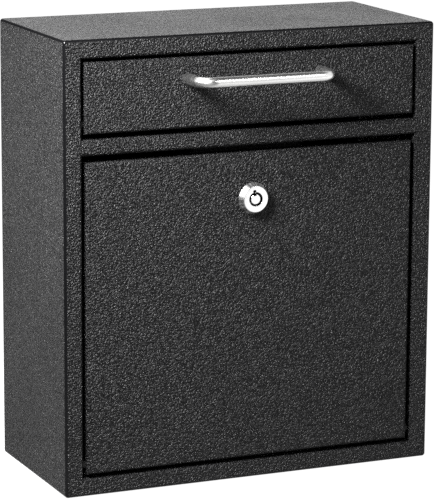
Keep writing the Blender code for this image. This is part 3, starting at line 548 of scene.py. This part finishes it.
def zinc_plate(name, seed, dull, bright):
    """Zinc plate on steel: fine grey cells, with larger cloudy patches in tone and gloss.

    dull and bright are the two tones, as linear red, green and blue.
    """
    plate = bpy.data.materials.new(name)
    plate.use_nodes = True
    nodes, links = plate.node_tree.nodes, plate.node_tree.links
    shader = nodes["Principled BSDF"]
    shader.inputs["Metallic"].default_value = 1.0
    place = nodes.new("ShaderNodeTexCoord")
    shift = nodes.new("ShaderNodeMapping")
    shift.inputs["Location"].default_value = (seed * 0.11, seed * 0.07, seed * 0.03)
    links.new(place.outputs["Object"], shift.inputs["Vector"])
    cells = nodes.new("ShaderNodeTexVoronoi")
    cells.inputs["Scale"].default_value = 900
    links.new(shift.outputs["Vector"], cells.inputs["Vector"])
    clouds = nodes.new("ShaderNodeTexNoise")
    clouds.inputs["Scale"].default_value = 220
    clouds.inputs["Detail"].default_value = 5
    links.new(shift.outputs["Vector"], clouds.inputs["Vector"])
    blend = nodes.new("ShaderNodeMix")
    blend.inputs["Factor"].default_value = 0.3
    links.new(clouds.outputs["Fac"], blend.inputs["A"])
    links.new(cells.outputs["Color"], blend.inputs["B"])
    ramp = nodes.new("ShaderNodeValToRGB")
    ramp.color_ramp.elements[0].position = 0.32
    ramp.color_ramp.elements[0].color = (*dull, 1)
    ramp.color_ramp.elements[1].position = 0.66
    ramp.color_ramp.elements[1].color = (*bright, 1)
    links.new(blend.outputs["Result"], ramp.inputs[0])
    links.new(ramp.outputs[0], shader.inputs["Base Color"])
    gloss = nodes.new("ShaderNodeMapRange")
    gloss.inputs["From Min"].default_value = 0.35
    gloss.inputs["From Max"].default_value = 0.65
    gloss.inputs["To Min"].default_value = 0.42
    gloss.inputs["To Max"].default_value = 0.26
    links.new(clouds.outputs["Fac"], gloss.inputs["Value"])
    links.new(gloss.outputs["Result"], shader.inputs["Roughness"])
    bump = nodes.new("ShaderNodeBump")
    bump.inputs["Strength"].default_value = 0.2
    bump.inputs["Distance"].default_value = 0.00003
    links.new(blend.outputs["Result"], bump.inputs["Height"])
    links.new(bump.outputs["Normal"], shader.inputs["Normal"])
    return plate


def matt_nylon(name):
    """Black moulded nylon: a fine eroded grain, a little greyer and duller on its high spots."""
    nylon = bpy.data.materials.new(name)
    nylon.use_nodes = True
    nodes, links = nylon.node_tree.nodes, nylon.node_tree.links
    shader = nodes["Principled BSDF"]
    shader.inputs["Specular IOR Level"].default_value = 0.3
    place = nodes.new("ShaderNodeTexCoord")
    grain = nodes.new("ShaderNodeTexNoise")
    grain.inputs["Scale"].default_value = 2600
    grain.inputs["Detail"].default_value = 3
    links.new(place.outputs["Object"], grain.inputs["Vector"])
    ramp = nodes.new("ShaderNodeValToRGB")
    ramp.color_ramp.elements[0].position = 0.35
    ramp.color_ramp.elements[0].color = (0.004, 0.004, 0.004, 1)
    ramp.color_ramp.elements[1].position = 0.65
    ramp.color_ramp.elements[1].color = (0.014, 0.014, 0.014, 1)
    links.new(grain.outputs["Fac"], ramp.inputs[0])
    links.new(ramp.outputs[0], shader.inputs["Base Color"])
    gloss = nodes.new("ShaderNodeMapRange")
    gloss.inputs["To Min"].default_value = 0.45
    gloss.inputs["To Max"].default_value = 0.65
    links.new(grain.outputs["Fac"], gloss.inputs["Value"])
    links.new(gloss.outputs["Result"], shader.inputs["Roughness"])
    bump = nodes.new("ShaderNodeBump")
    bump.inputs["Strength"].default_value = 0.3
    bump.inputs["Distance"].default_value = 0.00005
    links.new(grain.outputs["Fac"], bump.inputs["Height"])
    links.new(bump.outputs["Normal"], shader.inputs["Normal"])
    return nylon


def turned_surface(profile, axis, radius_at=None, sides=96):
    """A profile of (radius, y) turned about a line along Y through axis, an (x, z) pair.

    radius_at takes the radii, the y values and the angles as arrays and gives new radii.
    """
    profile = np.asarray(profile, float)
    around = np.linspace(0, math.tau, sides + 1)[:-1]
    radius = np.broadcast_to(profile[:, :1], (len(profile), sides))
    y = np.broadcast_to(profile[:, 1:], radius.shape)
    if radius_at is not None:
        radius = radius_at(radius, y, around[None, :])
    return np.stack([axis[0] + radius * np.cos(around), y, axis[1] + radius * np.sin(around)], -1)


def rounded(corner_in, corner, corner_out, radius, steps=5):
    """A profile's corner replaced by an arc-like curve between points this far from it."""
    corner_in, corner, corner_out = map(np.asarray, (corner_in, corner, corner_out))
    first = corner + (corner_in - corner) / np.linalg.norm(corner_in - corner) * radius
    last = corner + (corner_out - corner) / np.linalg.norm(corner_out - corner) * radius
    t = np.linspace(0, 1, steps)[:, None]
    return ((1 - t) ** 2 * first + 2 * t * (1 - t) * corner + t**2 * last).tolist()


def rod_surface(low, high, sides=32):
    """A rod along X with chamfered ends: rings of the rod's radius, closed at two points."""
    radius = (high.z - low.z) / 2
    y, z = (low.y + high.y) / 2, (low.z + high.z) / 2
    end = [(0, 0), (radius - ROD_CHAMFER, 0), (radius, ROD_CHAMFER)]
    profile = np.array([(r, low.x + d) for r, d in end] + [(r, high.x - d) for r, d in end[::-1]])
    around = np.linspace(0, math.tau, sides + 1)[:-1]
    x = np.broadcast_to(profile[:, 1:], (len(profile), sides))
    ring_y = y + profile[:, :1] * np.cos(around)
    ring_z = z + profile[:, :1] * np.sin(around)
    return joined_surface([(np.stack([x, ring_y, ring_z], -1), True)])


ROD_CHAMFER = 0.0004
plated = zinc_plate("zinc_plated_rod", 1, (0.36, 0.37, 0.39), (0.66, 0.67, 0.68))
nylon = matt_nylon("black_nylon_spacer")
for rod in ("hopper_rod", "door_rod"):
    finished(rod + "_turned", rod_surface(*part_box(rod)), "case", plated, [rod])
    for side in ("left", "right"):
        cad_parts[f"{rod}_cap_{side}"].data.materials[0] = plated
        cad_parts[f"{rod.split('_')[0]}_spacer_{side}"].data.materials[0] = nylon

# ---- hopper -------------------------------------------------------------------------
# The tilting face: a shallow tray folded from one sheet, with square corners, and behind it
# the scoop that carries the mail.  Both are coated like the case.

FACE_MARGIN = 0.0004  # a flat strip between a tray's face and its fold
TOOL_FRONT, TOOL_BACK = FRONT - 0.002, FRONT + 0.003


def tray_surface(low, high):
    """A folded tray: square-cornered rings that grow from the flat face out to the flanges.

    Ring t of the fold is inset by r (1 - sin t) and lies r (1 - cos t) behind the face.
    """
    fold = fold_steps(PANEL_FOLD, 8)
    profile = np.vstack([[[PANEL_FOLD + FACE_MARGIN, 0]], fold, [[0, FLANGE_DEPTH]]])
    signs = np.array([(1, 1), (0, 1), (0, 0), (1, 0)])
    x = np.where(signs[:, 0] > 0, high.x - profile[:, :1], low.x + profile[:, :1])
    z = np.where(signs[:, 1] > 0, high.z - profile[:, :1], low.z + profile[:, :1])
    rings = np.stack([x, np.broadcast_to(FRONT + profile[:, 1:], x.shape), z], -1)
    face = np.array([[rings[0, 2], rings[0, 3]], [rings[0, 1], rings[0, 0]]])
    return joined_surface([(rings, True), (face, False)])


def pivot_holes(low, high):
    """Cutters for the rod's holes in a tray's two side flanges."""
    y, z = FRONT + PIVOT_DEPTH, low.z + PIVOT_DEPTH
    reach = 0.002
    return [
        round_tool(ROD_HOLE, (x - reach, y, z), (x + reach, y, z)) for x in (low.x, high.x)
    ]


HANDLE_LOW, HANDLE_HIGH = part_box("handle")
HANDLE_RADIUS = (HANDLE_HIGH.z - HANDLE_LOW.z) / 2
HANDLE_Z = (HANDLE_HIGH.z + HANDLE_LOW.z) / 2
LEG_X = HANDLE_HIGH.x - HANDLE_RADIUS
SCREW_HOLE = 0.0022
hopper_coat = textured_coat("textured_black_hopper", 2)
leg_holes = [
    round_tool(SCREW_HOLE, (x, TOOL_FRONT, HANDLE_Z), (x, TOOL_BACK, HANDLE_Z))
    for x in (-LEG_X, LEG_X)
]
finished(
    "hopper_face",
    tray_surface(HOPPER_LOW, HOPPER_HIGH),
    "hopper",
    hopper_coat,
    ["hopper_panel"],
    gauge=SHEET,
    cutters=pivot_holes(HOPPER_LOW, HOPPER_HIGH) + leg_holes,
)
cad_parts["hopper_scoop"].data.materials[0] = hopper_coat

# ---- handle -------------------------------------------------------------------------
# A round stainless bar bent twice, brushed along its length, with a tapped hole in the end
# of each leg for the screws that hold it from inside.


def brushed_steel(name, along, tint, fine, coarse, low_gloss, high_gloss):
    """Stainless with a brushed grain: noise stretched along one axis, in tone, gloss and bump."""
    steel = bpy.data.materials.new(name)
    steel.use_nodes = True
    nodes, links = steel.node_tree.nodes, steel.node_tree.links
    shader = nodes["Principled BSDF"]
    shader.inputs["Metallic"].default_value = 1.0
    place = nodes.new("ShaderNodeTexCoord")

    def streaks(scale, squeeze):
        stretched = nodes.new("ShaderNodeMapping")
        scales = [squeeze if axis == along else 1.0 for axis in range(3)]
        stretched.inputs["Scale"].default_value = scales
        links.new(place.outputs["Object"], stretched.inputs["Vector"])
        made = nodes.new("ShaderNodeTexNoise")
        made.inputs["Scale"].default_value = scale
        made.inputs["Detail"].default_value = 3.0
        made.inputs["Roughness"].default_value = 0.65
        links.new(stretched.outputs["Vector"], made.inputs["Vector"])
        return made.outputs["Fac"]

    grain, bands = streaks(fine, 0.015), streaks(coarse, 0.03)
    ramp = nodes.new("ShaderNodeValToRGB")
    ramp.color_ramp.elements[0].position = 0.3
    ramp.color_ramp.elements[0].color = (*(value * 0.72 for value in tint), 1)
    ramp.color_ramp.elements[1].position = 0.72
    ramp.color_ramp.elements[1].color = (*tint, 1)
    links.new(grain, ramp.inputs[0])
    links.new(ramp.outputs[0], shader.inputs["Base Color"])
    gloss = nodes.new("ShaderNodeMapRange")
    gloss.inputs["From Min"].default_value = 0.3
    gloss.inputs["From Max"].default_value = 0.7
    gloss.inputs["To Min"].default_value = low_gloss
    gloss.inputs["To Max"].default_value = high_gloss
    links.new(bands, gloss.inputs["Value"])
    links.new(gloss.outputs["Result"], shader.inputs["Roughness"])
    bump = nodes.new("ShaderNodeBump")
    bump.inputs["Strength"].default_value = 0.03
    bump.inputs["Distance"].default_value = 0.00004
    links.new(grain, bump.inputs["Height"])
    links.new(bump.outputs["Normal"], shader.inputs["Normal"])
    return steel


BAR_Y = HANDLE_LOW.y + HANDLE_RADIUS
FOOT_Y = HANDLE_HIGH.y
BEND = 0.0115
FOOT_CHAMFER = 0.0004
HOLE_DEPTH = 0.0083


def bar_surface():
    """A profile of (distance from the foot, radius) carried along the bent bar.

    The centre line runs out of the panel, round a quarter turn, across, and back.  A ring
    at distance s lies square to the line there.  At each end the profile turns over the
    chamfered foot and down into the tapped hole.
    """
    leg = FOOT_Y - BAR_Y - BEND
    turn_length = BEND * math.pi / 2
    across = 2 * (LEG_X - BEND)
    length = 2 * leg + 2 * turn_length + across

    def place(s):
        s = np.asarray(s, float)
        mirrored = s > length / 2
        d = np.where(mirrored, length - s, s)
        angle = np.clip((d - leg) / BEND, 0, math.pi / 2)
        x = -LEG_X + BEND * (1 - np.cos(angle)) + np.clip(d - leg - turn_length, 0, None)
        y = FOOT_Y - np.clip(d, None, leg) - BEND * np.sin(angle)
        flip = np.where(mirrored, -1, 1)
        centre = np.stack([x * flip, y, np.full_like(x, HANDLE_Z)], -1)
        sideways = np.stack([np.cos(angle) * flip, np.sin(angle), np.zeros_like(x)], -1)
        return centre, sideways

    chamfer_middle = FOOT_CHAMFER * 0.3
    foot = [(HOLE_DEPTH, 0), (HOLE_DEPTH, SCREW_HOLE), (0, SCREW_HOLE)]
    foot += [(0, HANDLE_RADIUS - FOOT_CHAMFER), (chamfer_middle, HANDLE_RADIUS - chamfer_middle)]
    foot += [(FOOT_CHAMFER, HANDLE_RADIUS)]
    turned = leg + np.linspace(0, turn_length, 25)
    straight = np.linspace(leg + turn_length, length / 2, 9)[1:]
    middle = np.concatenate([[leg * 0.5], turned, straight])
    half = np.vstack([foot, np.stack([middle, np.full(len(middle), HANDLE_RADIUS)], 1)])
    other = half[::-1][1:].copy()
    other[:, 0] = length - other[:, 0]
    profile = np.vstack([half, other])
    centre, sideways = place(profile[:, 0])
    around = np.linspace(0, math.tau, 49)[:-1]
    up = np.array([0, 0, 1.0])
    ring = np.cos(around)[None, :, None] * sideways[:, None, :] + np.sin(around)[None, :, None] * up
    grid = centre[:, None, :] + profile[:, 1][:, None, None] * ring
    return joined_surface([(grid, True)])


satin_bar = brushed_steel("satin_bar", 0, (0.95, 0.95, 0.94), 1500, 500, 0.20, 0.32)
finished("pull_handle", bar_surface(), "hopper", satin_bar, ["handle"])

# ---- handle screws ------------------------------------------------------------------
# Two zinc-plated pan screws with a cross recess, each on a plain washer, driven forwards
# from inside the hopper into the handle's legs.


def pan_screw(low, high, shank, under_head):
    """A screw along Y with its head at high.y, closed at both ends.

    The head's profile is a quarter of an ellipse, radius cos t and height sin t.  The thread
    is a triangle wave of (y / pitch - angle / full turn) taken off the shank.
    """
    axis = ((low.x + high.x) / 2, (low.z + high.z) / 2)
    radius = (high.x - low.x) / 2
    turn = np.linspace(math.pi / 2, 0, 9)
    rim = under_head + (high.y - under_head) * RIM_SHARE
    dome = [(radius * math.cos(t), rim + (high.y - rim) * math.sin(t)) for t in turn]
    dome[0] = (0, high.y)
    first, last = under_head - PLAIN_END, low.y + PLAIN_END
    shank_y = np.arange(first + 0.0001, last + 0.0001, -SCREW_PITCH / 6)
    profile = dome + [(radius, under_head), (shank, under_head)]
    profile += [(shank, y) for y in shank_y] + [(shank * TIP_SHARE, low.y), (0, low.y)]

    def thread(ring, y, around):
        phase = np.mod(y / SCREW_PITCH - around / math.tau, 1.0)
        groove = SCREW_THREAD * (1 - np.abs(2 * phase - 1))
        return np.where((y < first) & (y > last), ring - groove, ring)

    return joined_surface([(turned_surface(profile, axis, thread, 48), True)])


def closed_tool(near, far, start, end):
    """A closed prism or wedge along Y between two outlines of (x, z) points, as a cutter."""
    count = len(near)
    points = [(x, start, z) for x, z in near] + [(x, end, z) for x, z in far]
    faces = [tuple(range(count)), tuple(range(2 * count - 1, count - 1, -1))]
    faces += [(i, (i + 1) % count, count + (i + 1) % count, count + i) for i in range(count)]
    mesh = bpy.data.meshes.new("closed_tool")
    mesh.from_pydata(points, [], faces)
    bm = bmesh.new()
    bm.from_mesh(mesh)
    bmesh.ops.recalc_face_normals(bm, faces=bm.faces)
    bm.to_mesh(mesh)
    bm.free()
    return mesh


def recess_tools(low, high):
    """Two crossed wedges that cut the cross recess: boxes that narrow towards their depth."""
    middle = np.array([(low.x + high.x) / 2, (low.z + high.z) / 2])
    head = high.x - low.x
    reach, depth = head * RECESS_REACH, head * RECESS_DEPTH
    corners = np.array([(-1, -1), (1, -1), (1, 1), (-1, 1)])
    tools = []
    for size in ((reach, reach * RECESS_WIDTH), (reach * RECESS_WIDTH, reach)):
        top = corners * size
        floor_outline = middle + top * RECESS_TAPER
        tools.append(closed_tool(middle + top, floor_outline, high.y + 0.0005, high.y - depth))
    return tools


SCREW_SHANK = 0.002
SCREW_PITCH = 0.0007
SCREW_THREAD = 0.0003
PLAIN_END = 0.0005
RIM_SHARE = 0.3
TIP_SHARE = 0.6
RECESS_REACH = 0.27
RECESS_WIDTH = 0.24
RECESS_DEPTH = 0.16
RECESS_TAPER = 0.55
screw_plate = zinc_plate("zinc_plated_screw", 2, (0.40, 0.41, 0.42), (0.72, 0.73, 0.74))
for side in ("left", "right"):
    screw_low, screw_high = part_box(f"handle_screw_{side}")
    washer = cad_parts[f"handle_washer_{side}"]
    washer.data.materials[0] = screw_plate
    finished(
        f"pan_screw_{side}",
        pan_screw(screw_low, screw_high, SCREW_SHANK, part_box(f"handle_washer_{side}")[1].y),
        "hopper",
        screw_plate,
        [f"handle_screw_{side}"],
        cutters=recess_tools(screw_low, screw_high),
    )

# ---- lock ---------------------------------------------------------------------------
# A tubular key lock: a turned and chromed head on a threaded barrel with two flats, held by
# a washer and a hexagon nut.  The plug with its post and pins turns inside it.

LOCK_LOW, LOCK_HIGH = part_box("lock_housing")
LOCK_X = (LOCK_LOW.x + LOCK_HIGH.x) / 2
LOCK_Z = (LOCK_LOW.z + LOCK_HIGH.z) / 2
LOCK_FACE = LOCK_LOW.y
BASE_RADIUS = (LOCK_HIGH.z - LOCK_LOW.z) / 2
FACE_RADIUS = 0.0088
KEYWAY = 0.0048
BARREL = 0.00925
FLAT = 0.008
THREAD_PITCH = 0.001
THREAD_DEPTH = 0.0005
THREAD_RUNOUT = 0.0006
THREAD_START = 0.0015
TURNING_MARKS = math.tau / 0.00012


def chrome(name):
    """Bright chrome, turned: mirror-like on the face, satin on the flank, with radial bands of
    gloss and of painted reflection.

    The distance from the lock's axis tells face from flank.  A noise on the direction from
    the axis is the same all along a radius, which makes the bands; on the flank they paint
    the colour darker, as painted reflection.  Below the face, within the ring-shaped keyway,
    the colour is painted dark, as painted shade.
    """
    plate = bpy.data.materials.new(name)
    plate.use_nodes = True
    nodes, links = plate.node_tree.nodes, plate.node_tree.links
    shader = nodes["Principled BSDF"]
    shader.inputs["Metallic"].default_value = 1.0
    place = nodes.new("ShaderNodeTexCoord")

    def vector(operation, first, second=None):
        made = nodes.new("ShaderNodeVectorMath")
        made.operation = operation
        links.new(first, made.inputs[0])
        if second is not None:
            made.inputs[1].default_value = second
        return made

    def mapped(value, low, high, to_low, to_high):
        made = nodes.new("ShaderNodeMapRange")
        made.interpolation_type = "SMOOTHSTEP"
        made.inputs["From Min"].default_value = low
        made.inputs["From Max"].default_value = high
        made.inputs["To Min"].default_value = to_low
        made.inputs["To Max"].default_value = to_high
        links.new(value, made.inputs["Value"])
        return made.outputs["Result"]

    def joined(operation, first, second):
        made = nodes.new("ShaderNodeMath")
        made.operation = operation
        links.new(first, made.inputs[0])
        links.new(second, made.inputs[1])
        return made.outputs[0]

    centred = vector("SUBTRACT", place.outputs["Object"], (LOCK_X, 0, LOCK_Z))
    across = vector("MULTIPLY", centred.outputs["Vector"], (1, 0, 1))
    radius = vector("LENGTH", across.outputs["Vector"]).outputs["Value"]
    ray = vector("NORMALIZE", across.outputs["Vector"])
    bands = nodes.new("ShaderNodeTexNoise")
    bands.inputs["Scale"].default_value = 3.2
    bands.inputs["Detail"].default_value = 4.0
    bands.inputs["Roughness"].default_value = 0.7
    links.new(ray.outputs["Vector"], bands.inputs["Vector"])
    stain = nodes.new("ShaderNodeTexNoise")
    stain.inputs["Scale"].default_value = 300
    stain.inputs["Detail"].default_value = 4
    links.new(place.outputs["Object"], stain.inputs["Vector"])
    depth = nodes.new("ShaderNodeSeparateXYZ")
    links.new(place.outputs["Object"], depth.inputs[0])
    flank = mapped(radius, FACE_RADIUS - 0.0003, FACE_RADIUS + 0.0001, 0.0, 1.0)
    # Painted reflection: the flank's colour is made darker, in radial bands.
    painted_band_reflection = mapped(bands.outputs["Fac"], 0.38, 0.58, -0.75, -0.25)
    face_tone = mapped(stain.outputs["Fac"], 0.35, 0.65, 0.93, 0.98)
    # Painted shade: below the face, inside the keyway, the colour is made dark.
    within = mapped(radius, KEYWAY + 0.0018, KEYWAY + 0.0022, 1.0, 0.0)
    painted_keyway_shade = mapped(depth.outputs["Y"], LOCK_FACE + 0.0002, LOCK_FACE + 0.0008, 0.0, -0.9)
    tone = joined("ADD", face_tone, joined("MULTIPLY", flank, painted_band_reflection))
    tone = joined("ADD", tone, joined("MULTIPLY", within, painted_keyway_shade))
    links.new(tone, shader.inputs["Base Color"])
    smooth = mapped(stain.outputs["Fac"], 0.35, 0.65, 0.05, 0.10)
    rough = mapped(bands.outputs["Fac"], 0.3, 0.7, 0.22, 0.32)
    gloss = joined("ADD", smooth, joined("MULTIPLY", flank, rough))
    links.new(gloss, shader.inputs["Roughness"])
    turning = nodes.new("ShaderNodeMath")
    turning.operation = "SINE"
    turned = nodes.new("ShaderNodeMath")
    turned.operation = "MULTIPLY"
    turned.inputs[1].default_value = TURNING_MARKS
    links.new(radius, turned.inputs[0])
    links.new(turned.outputs[0], turning.inputs[0])
    bump = nodes.new("ShaderNodeBump")
    bump.inputs["Strength"].default_value = 0.04
    bump.inputs["Distance"].default_value = 0.00003
    links.new(turning.outputs[0], bump.inputs["Height"])
    links.new(bump.outputs["Normal"], shader.inputs["Normal"])
    return plate


HEAD_SEAT = FRONT - 0.0003
PLUG_BORE = 0.0069
PLUG_STEP = FRONT + 0.0042
BARREL_END = LOCK_HIGH.y


def barrel_threads(radius, y, around):
    """A thread of one turn a pitch, cut away by the two flats.

    Depth into the metal is a triangle wave of (y / pitch - angle / full turn), only behind
    the seat; a flat limits the radius to flat / |cos angle|.
    """
    phase = np.mod((y - HEAD_SEAT) / THREAD_PITCH - around / math.tau, 1.0)
    groove = 1 - np.abs(2 * phase - 1)
    outside = (y > HEAD_SEAT + 1e-6) & (radius > PLUG_BORE + 0.0001)
    fade = np.clip((BARREL_END - THREAD_RUNOUT - y) / THREAD_RUNOUT, 0, 1)
    fade = fade * np.clip((y - HEAD_SEAT) / THREAD_START, 0, 1)
    grooved = outside & (radius > BARREL - 0.0002)
    cut = np.where(grooved, radius - THREAD_DEPTH * groove * fade, radius)
    return np.where(outside, np.minimum(cut, FLAT / np.maximum(np.abs(np.cos(around)), 0.01)), cut)


KEYWAY_EDGE = 0.00018
FACE_EDGE = 0.00045
BASE_EDGE = 0.0003
keyway_rim = (KEYWAY, LOCK_FACE)
face_rim = (FACE_RADIUS, LOCK_FACE)
base_rim = (BASE_RADIUS, HEAD_SEAT - 0.0008)
base_foot = (BASE_RADIUS, HEAD_SEAT)
head = [(KEYWAY, PLUG_STEP)]
head += rounded((KEYWAY, FRONT), keyway_rim, face_rim, KEYWAY_EDGE)
head += rounded(keyway_rim, face_rim, base_rim, FACE_EDGE)
head += rounded(face_rim, base_rim, base_foot, BASE_EDGE)
head += [base_foot, (BARREL, HEAD_SEAT), (BARREL, HEAD_SEAT + 0.0001)]
threads = np.arange(HEAD_SEAT + 0.0005, BARREL_END - 0.0005, THREAD_PITCH / 6)
head += [(BARREL, y) for y in threads]
head += [(BARREL - 0.0003, BARREL_END), (PLUG_BORE, BARREL_END)]
head += [(PLUG_BORE, PLUG_STEP), (KEYWAY, PLUG_STEP)]

KEY_NOTCH_TURN = math.radians(9)
KEY_NOTCH_HALF = 0.0011
KEY_NOTCH_REACH = 0.0016


def notch_tool(inner, outer, start, end):
    """A radial slot with a rounded outer end, a little left of the top, as a cutter."""
    half = KEY_NOTCH_HALF
    arc = np.linspace(0, math.pi, 13)
    outline = np.concatenate(
        [
            [[half, inner]],
            np.stack([half * np.cos(arc), outer - half * 0.5 + half * 0.5 * np.sin(arc)], 1),
            [[-half, inner]],
        ]
    )
    turn = np.array(
        [
            [math.cos(KEY_NOTCH_TURN), -math.sin(KEY_NOTCH_TURN)],
            [math.sin(KEY_NOTCH_TURN), math.cos(KEY_NOTCH_TURN)],
        ]
    )
    placed = outline @ turn.T + (LOCK_X, LOCK_Z)
    return closed_tool(placed, placed, start, end)


bright_chrome = chrome("bright_chrome_head")
finished(
    "lock_head",
    joined_surface([(turned_surface(head, (LOCK_X, LOCK_Z), barrel_threads), True)]),
    "door",
    bright_chrome,
    ["lock_housing"],
    cutters=[
        notch_tool(KEYWAY * 0.8, KEYWAY + KEY_NOTCH_REACH, LOCK_FACE - 0.001, FRONT + 0.0003)
    ],
)

# ---- lock fixings and core ----------------------------------------------------------
# Behind the door a washer and a chamfered hexagon nut clamp the lock.  The plug carries a
# ring of small steel pins in front and, on its square end, the cam with washer and screw.


def nut_surface(low, high):
    """A hexagon nut: a turned profile whose radius is limited to the hexagon's own.

    The hexagon's radius at an angle is half its width over the cosine of the angle from the
    middle of the nearest flat.
    """
    half_width = min(high.x - low.x, high.z - low.z) / 2
    corner_turn = 0 if high.x - low.x > high.z - low.z else math.pi / 6
    corner = half_width / math.cos(math.pi / 6)
    bore = BARREL + 0.0001
    mouth = bore + BORE_CHAMFER
    face = half_width * 0.95
    profile = [(bore, low.y + BORE_CHAMFER), (mouth, low.y), (face, low.y)]
    profile += [(corner, low.y + NUT_CHAMFER), (corner, high.y - NUT_CHAMFER), (face, high.y)]
    profile += [(mouth, high.y), (bore, high.y - BORE_CHAMFER), (bore, low.y + BORE_CHAMFER)]

    def hexagon(ring, y, around):
        flat = np.mod(around - corner_turn, math.pi / 3) - math.pi / 6
        return np.minimum(ring, half_width / np.cos(flat))

    return joined_surface([(turned_surface(profile, (LOCK_X, LOCK_Z), hexagon), True)])


def cam_surface(low, high):
    """The cam: a flat lever with softened edges and a square hole.

    Its outline at each direction is the further of two circles, round the axis and round
    the tip; rings inset by the edge's rounding carry it from face to face.
    """
    tip_x = low.x - LOCK_X + CAM_TIP
    direction = np.linspace(0, math.tau, 97)[:-1]
    normal = np.stack([np.cos(direction), np.sin(direction)], 1)
    on_tip = tip_x * normal[:, 0] + CAM_TIP > CAM_ROOT
    centre = np.where(on_tip[:, None], (tip_x, 0), (0, 0))
    radius = np.where(on_tip, CAM_TIP, CAM_ROOT)[:, None]
    square = CAM_HOLE_HALF / np.maximum(np.abs(normal[:, 0]), np.abs(normal[:, 1]))[:, None]
    hole = normal * square
    turn = np.linspace(0, math.pi / 2, 4)
    rings = [(low.y, hole)]
    for face, inwards, steps in ((low.y, 1, turn), (high.y, -1, turn[::-1])):
        for t in steps:
            inset = CAM_EDGE * (1 - math.sin(t))
            y = face + inwards * CAM_EDGE * (1 - math.cos(t))
            rings.append((y, centre + normal * (radius - inset)))
    rings += [(high.y, hole), (low.y, hole)]
    grid = [np.stack([LOCK_X + r[:, 0], np.full(len(r), y), LOCK_Z + r[:, 1]], 1) for y, r in rings]
    return joined_surface([(np.array(grid), True)])


NUT_CHAMFER = 0.0006
BORE_CHAMFER = 0.0004
CAM_ROOT, CAM_TIP = 0.008, 0.0055
CAM_HOLE_HALF = 0.00325
CAM_EDGE = 0.0004
lock_plate = zinc_plate("zinc_plated_lock_parts", 3, (0.38, 0.39, 0.41), (0.70, 0.71, 0.72))
pin_steel = zinc_plate("bright_pin_steel", 4, (0.60, 0.60, 0.60), (0.85, 0.85, 0.84))
nut_mesh = nut_surface(*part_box("lock_nut"))
finished("hexagon_nut", nut_mesh, "door", lock_plate, ["lock_nut"])
cam_mesh = cam_surface(*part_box("lock_cam"))
finished("cam_lever", cam_mesh, "lock_core", lock_plate, ["lock_cam"])
cam_screw_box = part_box("cam_screw")
finished(
    "cam_pan_screw",
    pan_screw(*cam_screw_box, SCREW_SHANK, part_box("cam_washer")[1].y),
    "lock_core",
    lock_plate,
    ["cam_screw"],
    cutters=recess_tools(*cam_screw_box),
)
for node in ("lock_washer", "cam_washer"):
    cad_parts[node].data.materials[0] = lock_plate
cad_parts["lock_plug"].data.materials[0] = bright_chrome
for number in range(1, 8):
    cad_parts[f"lock_pin_{number}"].data.materials[0] = pin_steel

# ---- door ---------------------------------------------------------------------------
# The drop-down front: a tray folded from one sheet with square corners, hung on a rod along
# its lower edge, and punched with a double-D hole for the lock.

door_coat = textured_coat("textured_black_door", 3)
HOLE_GAP = 0.0003
lock_hole = round_tool(
    BARREL + HOLE_GAP, (LOCK_X, TOOL_FRONT, LOCK_Z), (LOCK_X, TOOL_BACK, LOCK_Z), 64
)
punch = np.array([vertex.co for vertex in lock_hole.vertices])
punch[:, 0] = np.clip(punch[:, 0], LOCK_X - FLAT - HOLE_GAP, LOCK_X + FLAT + HOLE_GAP)
lock_hole.vertices.foreach_set("co", punch.ravel())
finished(
    "door_face",
    tray_surface(DOOR_LOW, DOOR_HIGH),
    "door",
    door_coat,
    ["door_panel"],
    gauge=SHEET,
    cutters=[*pivot_holes(DOOR_LOW, DOOR_HIGH), lock_hole],
)
